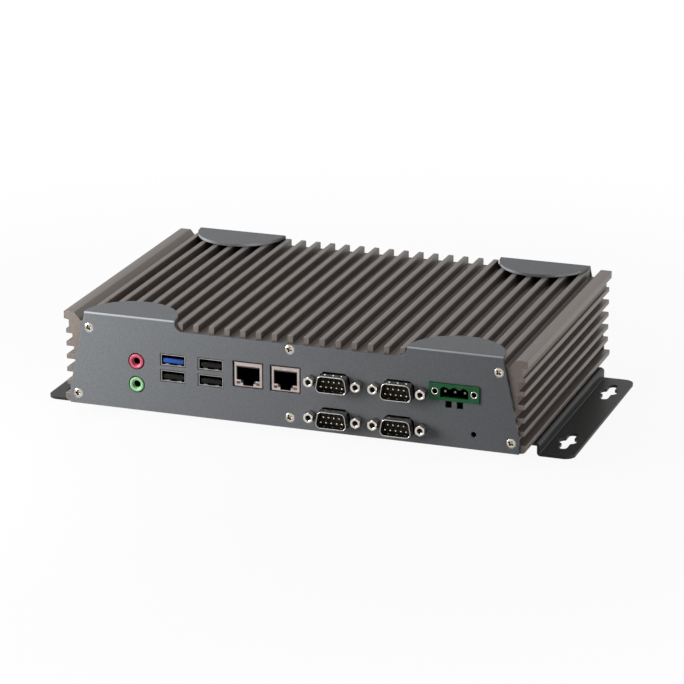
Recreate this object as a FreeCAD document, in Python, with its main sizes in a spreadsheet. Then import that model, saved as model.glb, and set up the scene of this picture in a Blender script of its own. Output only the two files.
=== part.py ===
import FreeCAD, Part

import math
import os

import Sketcher
from FreeCAD import Placement, Rotation, Vector

# Fanless industrial PC, in millimetres.
# X runs to the right and Y to the rear, both from the middle of the housing. Z is up from the underside of
# the wall brackets. Each piece is drawn in its own frame and placed: housing pieces from the underside of
# the housing, and what sits in an end plate from that plate's outer face, with its own Y running inwards.

SIZES = (
    # housing
    ("housing_width", 248.0),
    ("housing_depth", 164.0),
    ("housing_height", 48.6),
    ("stand_height", 6.9),
    ("plate_thickness", 1.5),
    ("fit_clearance", 0.15),
    ("screw_clearance", 0.05),
    # finned extrusion
    ("roof_fin_pitch", 8.5),
    ("roof_fin_count", 27),
    ("roof_fin_width", 3.0),
    ("roof_groove_depth", 4.25),
    ("roof_thickness", 3.55),
    ("fin_edge_width", 0.45),
    ("rail_width", 6.0),
    ("rail_height", 4.0),
    ("rail_slant", 3.6),
    ("side_fin_top_drop", 10.45),
    ("side_fin_count", 5),
    ("side_fin_width", 2.6),
    ("side_fin_setback", 1.1),
    ("lowest_fin_height", 10.35),
    ("side_groove_depth", 6.0),
    ("side_flare", 3.3),
    ("side_wall", 3.5),
    ("foot_height", 4.3),
    ("foot_radius", 2.5),
    ("foot_block_width", 14.0),
    ("foot_block_height", 9.0),
    ("screw_rib_width", 8.8),
    ("screw_rib_depth", 2.6),
    # end plates
    ("plate_foot_inset", 3.4),
    ("plate_shoulder_inset", 12.1),
    ("plate_knee_height", 9.0),
    ("plate_middle_drop", 4.2),
    ("tab_width", 49.7),
    ("tab_reach", 25.6),
    ("bend_radius", 1.3),
    # plate screws
    ("screw_radius", 1.5),
    ("screw_head_radius", 2.7),
    ("screw_length", 8.0),
    ("screw_hole_depth", 11.0),
    ("inner_head_height", 1.45),
    ("top_screw_inset", 14.4),
    ("top_screw_drop", 6.9),
    ("bottom_screw_inset", 7.6),
    ("bottom_screw_height", 5.5),
    # base plate
    ("base_inset", 7.7),
    ("base_lip_width", 13.0),
    ("base_lip_height", 9.2),
    ("base_screw_inset", 11.0),
    ("base_screw_setback", 16.5),
    ("base_screw_length", 4.6),
    # wall brackets
    ("bracket_length", 125.0),
    ("bracket_thickness", 1.5),
    ("bracket_reach", 19.0),
    ("bracket_lap", 16.0),
    ("bracket_wall_gap", 0.4),
    ("bracket_bend_radius", 1.9),
    ("bracket_corner_radius", 5.5),
    ("keyhole_spacing", 80.0),
    ("keyhole_inset", 8.6),
    ("keyhole_radius", 4.75),
    ("keyhole_slot_radius", 2.2),
    ("keyhole_slot_length", 24.0),
    ("bracket_screw_spacing", 48.0),
    ("bracket_screw_inset", 10.0),
    ("bracket_screw_radius", 2.0),
    ("bracket_screw_head_radius", 3.5),
    ("bracket_screw_head_height", 2.2),
    ("bracket_screw_length", 8.0),
    # boards
    ("board_thickness", 1.6),
    ("mainboard_height", 15.0),
    ("mainboard_side_gap", 14.0),
    ("mainboard_end_gap", 4.0),
    ("mainboard_notch_depth", 14.5),
    ("port_board_setback", 10.4),
    ("standoff_radius", 2.75),
    # serial ports
    ("com_first", 24.0),
    ("com_pitch", 34.0),
    ("com_upper_height", 27.0),
    ("com_drop", 18.9),
    ("com_width", 17.2),
    ("com_shell_height", 8.9),
    ("com_slope", 10.0),
    ("com_corner_radius", 2.5),
    ("com_wall", 0.45),
    ("com_reach", 5.9),
    ("com_flange_width", 30.8),
    ("com_flange_height", 12.5),
    ("com_flange_thickness", 0.9),
    ("com_panel_gap", 0.6),
    ("com_insert_recess", 0.6),
    ("com_pin_radius", 0.5),
    ("com_pin_pitch", 2.77),
    ("com_row_pitch", 2.84),
    ("com_pin_reach", 4.9),
    ("com_screw_spacing", 24.99),
    ("com_screw_flat", 5.0),
    ("com_screw_reach", 5.0),
    ("com_screw_bore", 1.4),
    ("com_stud_radius", 1.5),
    ("com_stud_length", 7.0),
    # USB ports
    ("usb_first", -63.2),
    ("usb_pitch", 20.6),
    ("usb_lower_height", 20.2),
    ("usb_port_rise", 8.6),
    ("usb_opening_width", 12.5),
    ("usb_opening_height", 5.1),
    ("usb_wall", 0.35),
    ("usb_depth", 18.0),
    ("usb_panel_gap", 0.4),
    ("usb_recess", 0.25),
    ("usb_back_depth", 9.5),
    ("usb_tongue_width", 11.2),
    ("usb_tongue_thickness", 1.84),
    # network ports
    ("lan_first", -22.3),
    ("lan_pitch", 20.1),
    ("lan_height", 25.65),
    ("lan_shield_width", 15.6),
    ("lan_shield_height", 13.0),
    ("lan_wall", 0.45),
    ("lan_depth", 21.0),
    ("lan_panel_gap", 0.5),
    ("lan_opening_width", 11.9),
    ("lan_opening_top", 3.6),
    ("lan_opening_height", 7.1),
    ("lan_latch_width", 6.0),
    ("lan_latch_depth", 2.4),
    ("lan_cavity_depth", 13.5),
    ("lan_contact_drop", 2.65),
    ("lan_contact_reach", 9.0),
    ("lan_contact_pitch", 1.02),
    ("lan_contact_thickness", 0.35),
    ("lan_lens_width", 2.7),
    ("lan_lens_height", 1.8),
    # audio jacks
    ("audio_place", -83.3),
    ("audio_upper_height", 26.2),
    ("audio_drop", 12.4),
    ("audio_hole_radius", 4.5),
    ("audio_bushing_radius", 3.9),
    ("audio_bore_radius", 1.8),
    ("audio_body_width", 11.0),
    ("audio_bushing_length", 6.4),
    # power header
    ("power_place", 87.0),
    ("power_height", 28.6),
    ("power_width", 26.0),
    ("power_body_height", 8.8),
    ("power_reach", 0.6),
    ("power_panel_gap", 0.25),
    ("power_pin_pitch", 5.08),
    ("power_pin_size", 1.0),
    ("power_nut_spacing", 20.32),
    ("power_nut_flat", 3.9),
    ("power_nut_bore", 1.3),
    ("power_nut_length", 4.0),
    ("power_cavity_depth", 8.0),
    ("power_cavity_height", 5.6),
    ("notch_width", 3.3),
    ("notch_pitch", 5.9),
    ("notch_depth", 3.6),
    ("spare_hole_radius", 1.5),
    # processor and its path to the roof
    ("processor_place", 42.0),
    ("processor_size", 31.0),
    ("processor_thickness", 2.6),
    ("pad_size", 24.0),
    ("pad_thickness", 0.5),
    ("spreader_size", 30.0),
    ("spreader_flange_width", 62.0),
    ("spreader_flange_thickness", 5.0),
    # memory, drive and battery
    ("memory_length", 67.6),
    ("memory_width", 30.0),
    ("memory_place", -62.0),
    ("memory_along", 12.0),
    ("memory_thickness", 1.2),
    ("memory_lift", 2.4),
    ("memory_socket_depth", 6.5),
    ("drive_width", 69.85),
    ("drive_length", 100.2),
    ("drive_thickness", 7.0),
    ("drive_place", -62.0),
    ("drive_socket_depth", 6.0),
    ("coin_radius", 10.0),
    ("coin_thickness", 3.2),
    ("coin_holder_rim", 1.8),
    ("coin_inset", 34.0),
    ("coin_along", 50.0),
    ("inductor_size", 9.0),
    # rear plate
    ("button_place", 86.0),
    ("button_rise", 1.7),
    ("button_barrel", 13.0),
    ("button_bezel", 16.0),
    ("button_bezel_height", 2.2),
    ("button_bore", 9.0),
    ("button_frame", 18.0),
    ("button_gap", 0.2),
    ("button_collar", 1.0),
    ("button_lip", 1.2),
    ("button_travel", 1.5),
    ("button_grip", 6.0),
    ("button_cap_reach", 0.6),
    ("button_body_length", 17.0),
    ("display_first", -64.0),
    ("display_pitch", 26.0),
    ("display_width", 15.2),
    ("display_height", 5.9),
    ("display_reach", 0.6),
    ("display_depth", 12.0),
    ("lens_radius", 1.5),
    ("lens_place", 62.0),
    ("lens_pitch", 8.0),
)


class Length:
    """A size in millimetres together with the spreadsheet expression that gives it."""

    def __init__(self, worth, text):
        self.worth = float(worth)
        self.text = text

    def __float__(self):
        return self.worth

    def joined(self, sign, other, worth, swapped=False):
        texts = [self.text, other.text if isinstance(other, Length) else f"{other:g}"]
        if swapped:
            texts.reverse()
        return Length(worth, f"({texts[0]} {sign} {texts[1]})")

    def __add__(self, other):
        return self.joined("+", other, self.worth + float(other))

    def __radd__(self, other):
        return self.joined("+", other, float(other) + self.worth, swapped=True)

    def __sub__(self, other):
        return self.joined("-", other, self.worth - float(other))

    def __rsub__(self, other):
        return self.joined("-", other, float(other) - self.worth, swapped=True)

    def __mul__(self, other):
        return self.joined("*", other, self.worth * float(other))

    def __rmul__(self, other):
        return self.joined("*", other, float(other) * self.worth, swapped=True)

    def __truediv__(self, other):
        return self.joined("/", other, self.worth / float(other))

    def __neg__(self):
        return self.joined("*", -1, -self.worth)


doc = FreeCAD.newDocument("FanlessPC")
sheet = doc.addObject("Spreadsheet::Sheet", "Sizes")
for row, (alias, number) in enumerate(SIZES, start=1):
    sheet.set(f"A{row}", alias)
    sheet.set(f"B{row}", str(number))
    sheet.setAlias(f"B{row}", alias)
doc.recompute()

size = {alias: Length(sheet.get(alias), f"Sizes.{alias}") for alias, number in SIZES}
parts = {}


# ---------------------------------------------------------------- drawing

def as_length(number):
    """Return the number as a Length, so that plain numbers and sheet sizes bind alike."""
    return number if isinstance(number, Length) else Length(number, f"{float(number):.6g}")


def bind(target, path, number):
    """Tie a property of the target to the expression of a size."""
    target.setExpression(path, as_length(number).text)


def locate(sketch, geometry, point, x, y, tag):
    """Hold a sketch point at the signed distances x and y from the sketch's origin."""
    for kind, number in (("DistanceX", x), ("DistanceY", y)):
        index = sketch.addConstraint(Sketcher.Constraint(kind, -1, 1, geometry, point, float(number)))
        name = f"{kind.lower()}_{tag}"
        sketch.renameConstraint(index, name)
        bind(sketch, f"Constraints.{name}", number)


def rectangle(x, y, width, height):
    """Return a drawing of a rectangle centred at x, y."""

    def draw(sketch):
        left, right = as_length(x) - width / 2, as_length(x) + width / 2
        low, high = as_length(y) - height / 2, as_length(y) + height / 2
        spots = ((left, low), (right, low), (right, high), (left, high))
        points = [Vector(float(a), float(b), 0) for a, b in spots]
        first = sketch.GeometryCount
        for start, end in zip(points, points[1:] + points[:1]):
            sketch.addGeometry(Part.LineSegment(start, end), False)
        for step in range(4):
            sketch.addConstraint(Sketcher.Constraint("Coincident", first + step, 2, first + (step + 1) % 4, 1))
        for step, kind in enumerate(("Horizontal", "Vertical", "Horizontal", "Vertical")):
            sketch.addConstraint(Sketcher.Constraint(kind, first + step))
        locate(sketch, first, 1, left, low, f"{first}a")
        locate(sketch, first + 2, 1, right, high, f"{first}b")

    return draw


def circle(x, y, radius):
    """Return a drawing of a circle centred at x, y."""

    def draw(sketch):
        index = sketch.addGeometry(
            Part.Circle(Vector(float(x), float(y), 0), Vector(0, 0, 1), float(radius)), False
        )
        locate(sketch, index, 3, x, y, f"{index}c")
        held = sketch.addConstraint(Sketcher.Constraint("Radius", index, float(radius)))
        sketch.renameConstraint(held, f"radius_{index}")
        bind(sketch, f"Constraints.radius_{index}", radius)

    return draw


def outline(corners, flat=0):
    """Return a drawing of a closed outline through corners given as x, y and corner radius.

    With flat above 0 each round corner is cut straight instead, that share of the way to where its arc starts.
    """
    spots = [Vector(float(x), float(y), 0) for x, y, radius in corners]
    radii = [float(radius) for x, y, radius in corners]

    def draw(sketch):
        runs = []
        for index, (corner, radius) in enumerate(zip(spots, radii)):
            before = (spots[index - 1] - corner).normalize()
            after = (spots[(index + 1) % len(spots)] - corner).normalize()
            if radius == 0:
                runs.append((corner, None, corner))
                continue
            half = before.getAngle(after) / 2
            reach = radius / math.tan(half)
            if flat:
                spot = corner + before * reach * flat
                runs.append((spot, None, spot))
                spot = corner + after * reach * flat
                runs.append((spot, None, spot))
                continue
            inward = (before + after).normalize()
            middle = corner + inward * (radius / math.sin(half) - radius)
            runs.append((corner + before * reach, middle, corner + after * reach))
        for (start, middle, end), (following, *rest) in zip(runs, runs[1:] + runs[:1]):
            if middle is not None:
                sketch.addGeometry(Part.Arc(start, middle, end), False)
            if (following - end).Length > 1e-6:
                sketch.addGeometry(Part.LineSegment(end, following), False)

    return draw


def slot(x, y, radius, length):
    """Return a drawing of a slot along the sketch's second axis, centred at x, y."""
    reach = float(length) / 2 - float(radius)
    ends = [Vector(float(x) + side * float(radius), float(y) + end * reach, 0)
            for end, side in ((-1, -1), (-1, 1), (1, 1), (1, -1))]
    tips = [Vector(float(x), float(y) + end * float(length) / 2, 0) for end in (-1, 1)]

    def draw(sketch):
        sketch.addGeometry(Part.Arc(ends[0], tips[0], ends[1]), False)
        sketch.addGeometry(Part.LineSegment(ends[1], ends[2]), False)
        sketch.addGeometry(Part.Arc(ends[2], tips[1], ends[3]), False)
        sketch.addGeometry(Part.LineSegment(ends[3], ends[0]), False)

    return draw


def hexagon(x, y, flat, turn=0):
    """Return the outline of a hexagon of the given width across its flats."""
    reach = float(flat) / math.sqrt(3)
    angles = [math.radians(turn + 60 * step) for step in range(6)]
    return outline([(float(x) + reach * math.cos(a), float(y) + reach * math.sin(a), 0) for a in angles])


def octagon(x, y, radius):
    """Return the outline of an octagon whose corners lie on a circle, for small shanks and their holes."""
    angles = [math.pi / 4 * (step + 0.5) for step in range(8)]
    return outline([(float(x) + float(radius) * math.cos(a), float(y) + float(radius) * math.sin(a), 0)
                    for a in angles])


# ---------------------------------------------------------------- solid features

# Each direction's origin plane, and whether the plane's normal points along the axis.
PLANES = {"x": ("YZ_Plane", True), "y": ("XZ_Plane", False), "z": ("XY_Plane", True)}


def new_body(label):
    """Start a body whose label is its file name."""
    body = doc.addObject("PartDesign::Body", label)
    body.Label = label
    return body


def new_sketch(body, axis, start, drawings):
    """Draw on the origin plane across the axis, moved to start along it."""
    role, along = PLANES[axis]
    plane = next(feature for feature in body.Origin.OriginFeatures if feature.Role == role)
    sketch = body.newObject("Sketcher::SketchObject", f"{body.Label}_sketch")
    sketch.AttachmentSupport = [(plane, "")]
    sketch.MapMode = "FlatFace"
    start = as_length(start)
    bind(sketch, "AttachmentOffset.Base.z", start if along else -start)
    for draw in drawings:
        draw(sketch)
    return sketch


def add_prism(body, axis, start, stop, *drawings):
    """Add a straight prism of the drawings from start to stop along an axis of the body."""
    pad = body.newObject("PartDesign::Pad", f"{body.Label}_pad")
    pad.Profile = new_sketch(body, axis, start, drawings)
    pad.Reversed = not PLANES[axis][1]
    bind(pad, "Length", as_length(stop) - start)
    doc.recompute()
    return pad


def cut_prism(body, axis, start, stop, *drawings):
    """Cut a straight prism of the drawings from start to stop, which must remove material."""
    before = body.Shape.Volume
    pocket = body.newObject("PartDesign::Pocket", f"{body.Label}_pocket")
    pocket.Profile = new_sketch(body, axis, start, drawings)
    pocket.Reversed = PLANES[axis][1]
    bind(pocket, "Length", as_length(stop) - start)
    doc.recompute()
    if body.Shape.Volume >= before:
        raise ValueError(f"a cut in {body.Label} removes nothing")
    return pocket


def add_turned(body, corners):
    """Add a solid turned about the body's Y axis from corners given as radius, y and corner radius."""
    turned = body.newObject("PartDesign::Revolution", f"{body.Label}_turned")
    sketch = new_sketch(body, "z", 0, [outline(corners)])
    turned.Profile = sketch
    turned.ReferenceAxis = (sketch, ["V_Axis"])
    doc.recompute()
    return turned


def round_edges(body, radius, wanted):
    """Round each edge whose middle and box pass the wanted test."""
    base = body.Tip
    names = []
    for index, edge in enumerate(base.Shape.Edges, start=1):
        if wanted(edge.BoundBox):
            names.append(f"Edge{index}")
    rounded = body.newObject("PartDesign::Fillet", f"{body.Label}_round")
    rounded.Base = (base, names)
    bind(rounded, "Radius", radius)
    doc.recompute()
    return rounded


def mirrored(body, features, role):
    """Repeat features on the other side of one of the body's origin planes."""
    plane = next(feature for feature in body.Origin.OriginFeatures if feature.Role == role)
    mirror = body.newObject("PartDesign::Mirrored", f"{body.Label}_mirror")
    mirror.Originals = features
    mirror.MirrorPlane = (plane, [""])
    body.Tip = mirror
    doc.recompute()
    return mirror


def repeated(body, features, role, pitch, count):
    """Repeat features along one of the body's origin axes."""
    axis = next(feature for feature in body.Origin.OriginFeatures if feature.Role == role)
    pattern = body.newObject("PartDesign::LinearPattern", f"{body.Label}_pattern")
    pattern.Originals = features
    pattern.Direction = (axis, [""])
    bind(pattern, "Length", pitch * (count - 1))
    bind(pattern, "Occurrences", count)
    body.Tip = pattern
    doc.recompute()
    return pattern


def keep(part, x=0, y=0, z=0, turn=None):
    """Place a finished piece and list it for its file."""
    if turn is not None:
        part.Placement = Placement(Vector(0, 0, 0), turn)
    for axis, number in zip("xyz", (x, y, z)):
        bind(part, f"Placement.Base.{axis}", number)
    parts[part.Label] = part
    return part


def keep_group(label, master, places):
    """Make one part of separate solids, a copy of the master at each placement."""
    group = doc.addObject("Part::Feature", label)
    group.Label = label
    solids = []
    for place in places:
        solid = master.Shape.copy()
        solid.Placement = place.multiply(solid.Placement)
        solids += solid.Solids
    group.Shape = Part.makeCompound(solids)
    group.Placement = Placement()
    parts[label] = group
    return group


def at(x, y, z, turn=None):
    """Return a placement at x, y, z in the frame of the whole object."""
    return Placement(Vector(float(x), float(y), float(z)), turn or Rotation())


UPWARDS = Rotation(Vector(1, 0, 0), 90)
DOWNWARDS = Rotation(Vector(1, 0, 0), -90)
ABOUT_FACE = Rotation(Vector(0, 0, 1), 180)

stand = size["stand_height"]
plate = size["plate_thickness"]
front_face = -size["housing_depth"] / 2
rear_face = size["housing_depth"] / 2
half_width = size["housing_width"] / 2
roof_floor = size["housing_height"] - size["roof_groove_depth"]
ceiling = roof_floor - size["roof_thickness"]
board_top = size["mainboard_height"] + size["board_thickness"]
port_board = size["port_board_setback"]
board_half_width = half_width - size["mainboard_side_gap"]
board_half_depth = rear_face - size["mainboard_end_gap"]
base_half_width = half_width - size["base_inset"]
shoulder_reach = half_width - size["plate_shoulder_inset"]
foot_reach = half_width - size["plate_foot_inset"]
flange_reach = half_width + size["bracket_reach"]
button_height = size["housing_height"] / 2 + size["button_rise"]


# ---------------------------------------------------------------- finned extrusion

def side_wall_place(height):
    """Return the half width at the bottom of a side groove, which flares out towards the roof."""
    lowest = size["foot_height"]
    share = (float(height) - float(lowest)) / (float(roof_floor) - float(lowest))
    return float(half_width - size["side_groove_depth"]) + float(size["side_flare"]) * share ** 3


def extrusion_section():
    """Return the corners of the extrusion's right half, from the roof round the side to the ceiling."""
    top = float(size["housing_height"])
    wide = float(half_width)
    edge = float(size["fin_edge_width"])
    floor = float(roof_floor)
    rail = wide - float(size["rail_width"])
    last_fin = float(size["roof_fin_pitch"] * (size["roof_fin_count"] - 1) / 2 + size["roof_fin_width"] / 2)
    rail_foot = top - float(size["rail_height"])
    half_fin = float(size["side_fin_width"]) / 2
    tip = wide - float(size["side_fin_setback"])
    steps = float(size["side_fin_count"]) - 1
    pitch = (top - float(size["side_fin_top_drop"]) - float(size["lowest_fin_height"])) / steps
    corners = [
        (last_fin, top, 0),
        (last_fin, floor, 0),
        (rail - float(size["rail_slant"]), floor, 0),
        (rail, top, 0),
        (wide, top, 0),
        (wide, rail_foot, 0),
    ]
    wall = side_wall_place(floor)
    corners.append((wall, rail_foot - edge, 0))
    for step in reversed(range(int(float(size["side_fin_count"])))):
        height = float(size["lowest_fin_height"]) + step * pitch
        corners.append((wall, height + half_fin, 0))
        corners.append((tip, height + half_fin, 0))
        corners.append((tip, height - half_fin, 0))
        wall = side_wall_place(height - pitch / 2)
        corners.append((wall, height - half_fin, 0))
    inner = float(half_width - size["side_groove_depth"] - size["side_wall"])
    block = wide - float(size["foot_block_width"])
    block_top = float(size["foot_block_height"])
    rebate = float(base_half_width + size["fit_clearance"])
    under = float(ceiling)
    rib = float(size["screw_rib_width"]) / 2
    rib_end = under - float(size["screw_rib_depth"])
    corner_rib = wide - float(size["top_screw_inset"]) - rib
    corners += [
        (wall, float(size["foot_height"]), 0),
        (wide, float(size["foot_height"]), 0),
        (wide, 0, float(size["foot_radius"])),
        (rebate, 0, 0),
        (rebate, float(plate), 0),
        (block, float(plate), 0),
        (block, block_top, 0),
        (inner, block_top + inner - block, 0),
        (inner, rib_end, 0),
        (corner_rib + edge, rib_end, 0),
        (corner_rib - edge, under, 0),
        (rib, under, 0),
        (rib - edge, rib_end, 0),
    ]
    return corners


def heatsink_cover():
    """Model the extrusion: its section along the depth, the roof grooves, then the tapped holes."""
    body = new_body("heatsink_cover")
    start, stop = front_face + plate, rear_face - plate
    right = extrusion_section()
    left = [(-x, z, radius) for x, z, radius in reversed(right)]
    add_prism(body, "y", start, stop, outline(right + left))
    edge = float(size["fin_edge_width"])
    near = float(size["roof_fin_pitch"] - size["roof_fin_width"]) / 2
    middle = float(size["roof_fin_pitch"]) * (1 - float(size["roof_fin_count"] - 1) / 2 - 0.5)
    top, floor = float(size["housing_height"]), float(roof_floor)
    groove = [
        (middle - near - edge, top, 0),
        (middle - near, top - edge, 0),
        (middle - near, floor, 0),
        (middle + near, floor, 0),
        (middle + near, top - edge, 0),
        (middle + near + edge, top, 0),
        (middle + near + edge, top + 1, 0),
        (middle - near - edge, top + 1, 0),
    ]
    cut = cut_prism(body, "y", start, stop, outline(groove))
    repeated(body, [cut], "X_Axis", size["roof_fin_pitch"], size["roof_fin_count"] - 1)
    hole = size["screw_radius"] + size["screw_clearance"]
    tapped = [octagon(x, z, hole) for x, z in plate_screw_places() if float(x) or float(z) > float(ceiling)]
    ends = cut_prism(body, "y", start, start + size["screw_hole_depth"], *tapped)
    mirrored(body, [ends], "XZ_Plane")
    base_holes = [octagon(x, y, hole) for x, y in base_screw_places()]
    cut_prism(body, "z", plate, size["base_screw_length"] + 0.5, *base_holes)
    bracket_hole = size["bracket_screw_radius"] + size["screw_clearance"]
    bracket_holes = [octagon(x, y, bracket_hole) for x, y in bracket_screw_places()]
    cut_prism(body, "z", plate, size["bracket_screw_length"], *bracket_holes)
    spreader_holes = [octagon(x, y, hole) for x, y in spreader_screw_places()]
    cut_prism(body, "z", ceiling, ceiling + spreader_screw_bite(), *spreader_holes)
    return keep(body, z=stand)


def plate_screw_places():
    """Return where the six screws of an end plate stand, as x and height."""
    top, bottom = half_width - size["top_screw_inset"], half_width - size["bottom_screw_inset"]
    high, low = size["housing_height"] - size["top_screw_drop"], size["bottom_screw_height"]
    nil = Length(0, "0")
    return [(-top, high), (nil, high), (top, high), (-bottom, low), (nil, low), (bottom, low)]


def base_screw_places():
    """Return where the four base plate screws stand, as x and y."""
    across, along = half_width - size["base_screw_inset"], rear_face - size["base_screw_setback"]
    return [(-across, -along), (across, -along), (across, along), (-across, along)]


def bracket_screw_places():
    """Return where the bracket screws stand, three on each side, as x and y."""
    across = half_width - size["bracket_screw_inset"]
    pitch = size["bracket_screw_spacing"]
    return [(side * across, step * pitch) for side in (-1, 1) for step in (-1, 0, 1)]


def spreader_screw_places():
    """Return where the four heat spreader screws stand, as x and y."""
    reach = (size["spreader_flange_width"] + size["spreader_size"]) / 4
    centre = size["processor_place"]
    return [(centre + side * reach, end * reach) for side in (-1, 1) for end in (-1, 1)]


def spreader_screw_bite():
    """Return how far a heat spreader screw reaches into the roof."""
    return size["roof_thickness"] - 1.2


# ---------------------------------------------------------------- end plates, base plate and brackets

def tab(sketch):
    """Draw the right tab in plan: straight at the fold and half round behind it."""
    inner, outer = float(shoulder_reach - size["tab_width"]), float(shoulder_reach)
    radius = (outer - inner) / 2
    turn = float(size["tab_reach"]) - radius
    corners = [Vector(inner, turn, 0), Vector(inner, 0, 0), Vector(outer, 0, 0), Vector(outer, turn, 0)]
    for start, end in zip(corners, corners[1:]):
        sketch.addGeometry(Part.LineSegment(start, end), False)
    tip = Vector((inner + outer) / 2, turn + radius, 0)
    sketch.addGeometry(Part.Arc(corners[3], tip, corners[0]), False)


def end_plate(label, y, turn, cutouts):
    """Model an end plate of folded sheet, with two tabs over the roof and its countersunk holes."""
    body = new_body(label)
    top = size["housing_height"] + plate
    shoulder, foot = float(shoulder_reach), float(foot_reach)
    inner = shoulder - float(size["tab_width"])
    middle = float(size["housing_height"] - size["plate_middle_drop"])
    rise = float(top) - middle
    right = [
        (inner - 0.12 * rise, middle, 0.8 * rise),
        (inner, float(top), 0),
        (shoulder, float(top), 0),
        (shoulder, float(size["housing_height"]), 0),
        (foot - 0.2, float(size["plate_knee_height"]), 0),
        (foot, 0, 0),
    ]
    left = [(-x, z, radius) for x, z, radius in reversed(right)]
    add_prism(body, "y", 0, plate, outline(right + left))
    flap = add_prism(body, "z", size["housing_height"], top, tab)
    mirrored(body, [flap], "YZ_Plane")
    round_edges(
        body,
        size["bend_radius"],
        lambda box: box.YLength + box.ZLength < 1e-6 and abs(box.YMin) < 1e-6 and box.ZMax > float(top) - 0.01,
    )
    countersink(body, "y", plate_screw_places())
    cut_prism(body, "y", 0, plate, *cutouts)
    return keep(body, y=y, z=stand, turn=turn)


def com_outline(grow):
    """Return the corners of a serial port's D, wide side down, grown all round from the shell's outside."""
    low = float(size["com_shell_height"]) / 2
    lean = math.tan(math.radians(float(size["com_slope"])))
    wide = float(size["com_width"]) / 2 + grow / math.cos(math.atan(lean))
    radius = float(size["com_corner_radius"]) + grow
    high = low + grow
    base, crown = wide + grow * lean, wide - lean * (2 * low + grow)
    return [(-base, -high, radius), (base, -high, radius), (crown, high, radius), (-crown, high, radius)]


def com_places():
    """Return the four serial ports' centres as x and height, by columns from the left and from the top."""
    columns = [size["com_first"] + step * size["com_pitch"] for step in (0, 1)]
    rows = [size["com_upper_height"] - step * size["com_drop"] for step in (0, 1)]
    return [(x, z) for x in columns for z in rows]


def usb_places():
    """Return the x of the two USB stacks."""
    return [size["usb_first"] + step * size["usb_pitch"] for step in (0, 1)]


def usb_port_heights():
    """Return the heights of the lower and the upper port of a USB stack."""
    return [size["usb_lower_height"] + step * size["usb_port_rise"] for step in (0, 1)]


def lan_places():
    """Return the x of the two network ports."""
    return [size["lan_first"] + step * size["lan_pitch"] for step in (0, 1)]


def audio_heights():
    """Return the heights of the microphone and the line jack."""
    return [size["audio_upper_height"] - step * size["audio_drop"] for step in (0, 1)]


def front_cutouts():
    """Return the drawings of every opening of the front plate, apart from its screw holes."""
    drawings = []
    for x, z in com_places():
        grown = com_outline(float(size["com_panel_gap"]))
        drawings.append(outline([(float(x) + a, float(z) + b, radius) for a, b, radius in grown], flat=0.7))
        for side in (-1, 1):
            stud = size["com_stud_radius"] + size["fit_clearance"]
            drawings.append(octagon(x + side * size["com_screw_spacing"] / 2, z, stud))
    usb_edge = (size["usb_wall"] + size["usb_panel_gap"]) * 2
    for x in usb_places():
        for z in usb_port_heights():
            drawings.append(
                rectangle(x, z, size["usb_opening_width"] + usb_edge, size["usb_opening_height"] + usb_edge)
            )
    lan_edge = size["lan_panel_gap"] * 2
    for x in lan_places():
        drawings.append(
            rectangle(x, size["lan_height"], size["lan_shield_width"] + lan_edge,
                      size["lan_shield_height"] + lan_edge)
        )
    drawings += [circle(size["audio_place"], z, size["audio_hole_radius"]) for z in audio_heights()]
    drawings.append(power_cutout())
    drawings.append(circle(size["power_place"] + size["power_nut_spacing"] / 2, size["bottom_screw_height"] + 2.3,
                           size["spare_hole_radius"]))
    return drawings


def power_cutout():
    """Return the power header's opening, with the two key notches along its lower edge."""
    x, z = float(size["power_place"]), float(size["power_height"])
    gap = float(size["power_panel_gap"])
    wide = float(size["power_width"]) / 2 + gap
    high = float(size["power_body_height"]) / 2 + gap
    notch, drop = float(size["notch_width"]) / 2, high + float(size["notch_depth"])
    corners = [(-wide, high), (-wide, -high)]
    for middle in (-float(size["notch_pitch"]) / 2, float(size["notch_pitch"]) / 2):
        edges = (middle - notch, middle + notch)
        corners += [(edges[0], -high), (edges[0], -drop), (edges[1], -drop), (edges[1], -high)]
    corners += [(wide, -high), (wide, high)]
    return outline([(x + a, z + b, 0) for a, b in corners])


def rear_cutouts():
    """Return the drawings of the rear plate's openings, apart from its screw holes."""
    opening = size["button_barrel"] + size["fit_clearance"] * 2
    drawings = [rectangle(size["button_place"], button_height, opening, opening)]
    for x in display_places():
        drawings.append(outline(display_outline(x, display_centre(), float(size["usb_panel_gap"]))))
    for z in lens_heights():
        drawings.append(octagon(size["lens_place"], z, size["lens_radius"] + size["fit_clearance"]))
    return drawings


def countersink(body, axis, places):
    """Cut countersunk holes for the housing's screws into the outer side of a sheet."""
    gap = size["screw_clearance"]
    hole, head = size["screw_radius"] + gap, size["screw_head_radius"] + gap
    cut_prism(body, axis, 0, plate, *[octagon(a, b, hole) for a, b in places])
    cone = cut_prism(body, axis, 0, head - hole, *[octagon(a, b, head) for a, b in places])
    cone.TaperAngle = -45
    doc.recompute()


def base_plate():
    """Model the base plate: a flat sheet with a lip turned up behind each end plate."""
    body = new_body("base_plate")
    reach = rear_face - plate
    add_prism(body, "z", 0, plate, rectangle(0, 0, base_half_width * 2, reach * 2))
    lip_middle = size["base_lip_height"] / 2
    lip = add_prism(body, "y", -reach, -reach + plate,
                    rectangle(0, lip_middle, size["base_lip_width"], size["base_lip_height"]))
    mirrored(body, [lip], "XZ_Plane")
    hole = size["screw_radius"] + size["screw_clearance"]
    lip_hole = cut_prism(body, "y", -reach, -reach + plate, octagon(0, size["bottom_screw_height"], hole))
    mirrored(body, [lip_hole], "XZ_Plane")
    countersink(body, "z", base_screw_places() + drive_screw_places())
    bracket_hole = size["bracket_screw_radius"] + size["fit_clearance"]
    cut_prism(body, "z", 0, plate, *[octagon(x, y, bracket_hole) for x, y in bracket_screw_places()])
    return keep(body, z=stand)


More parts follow.
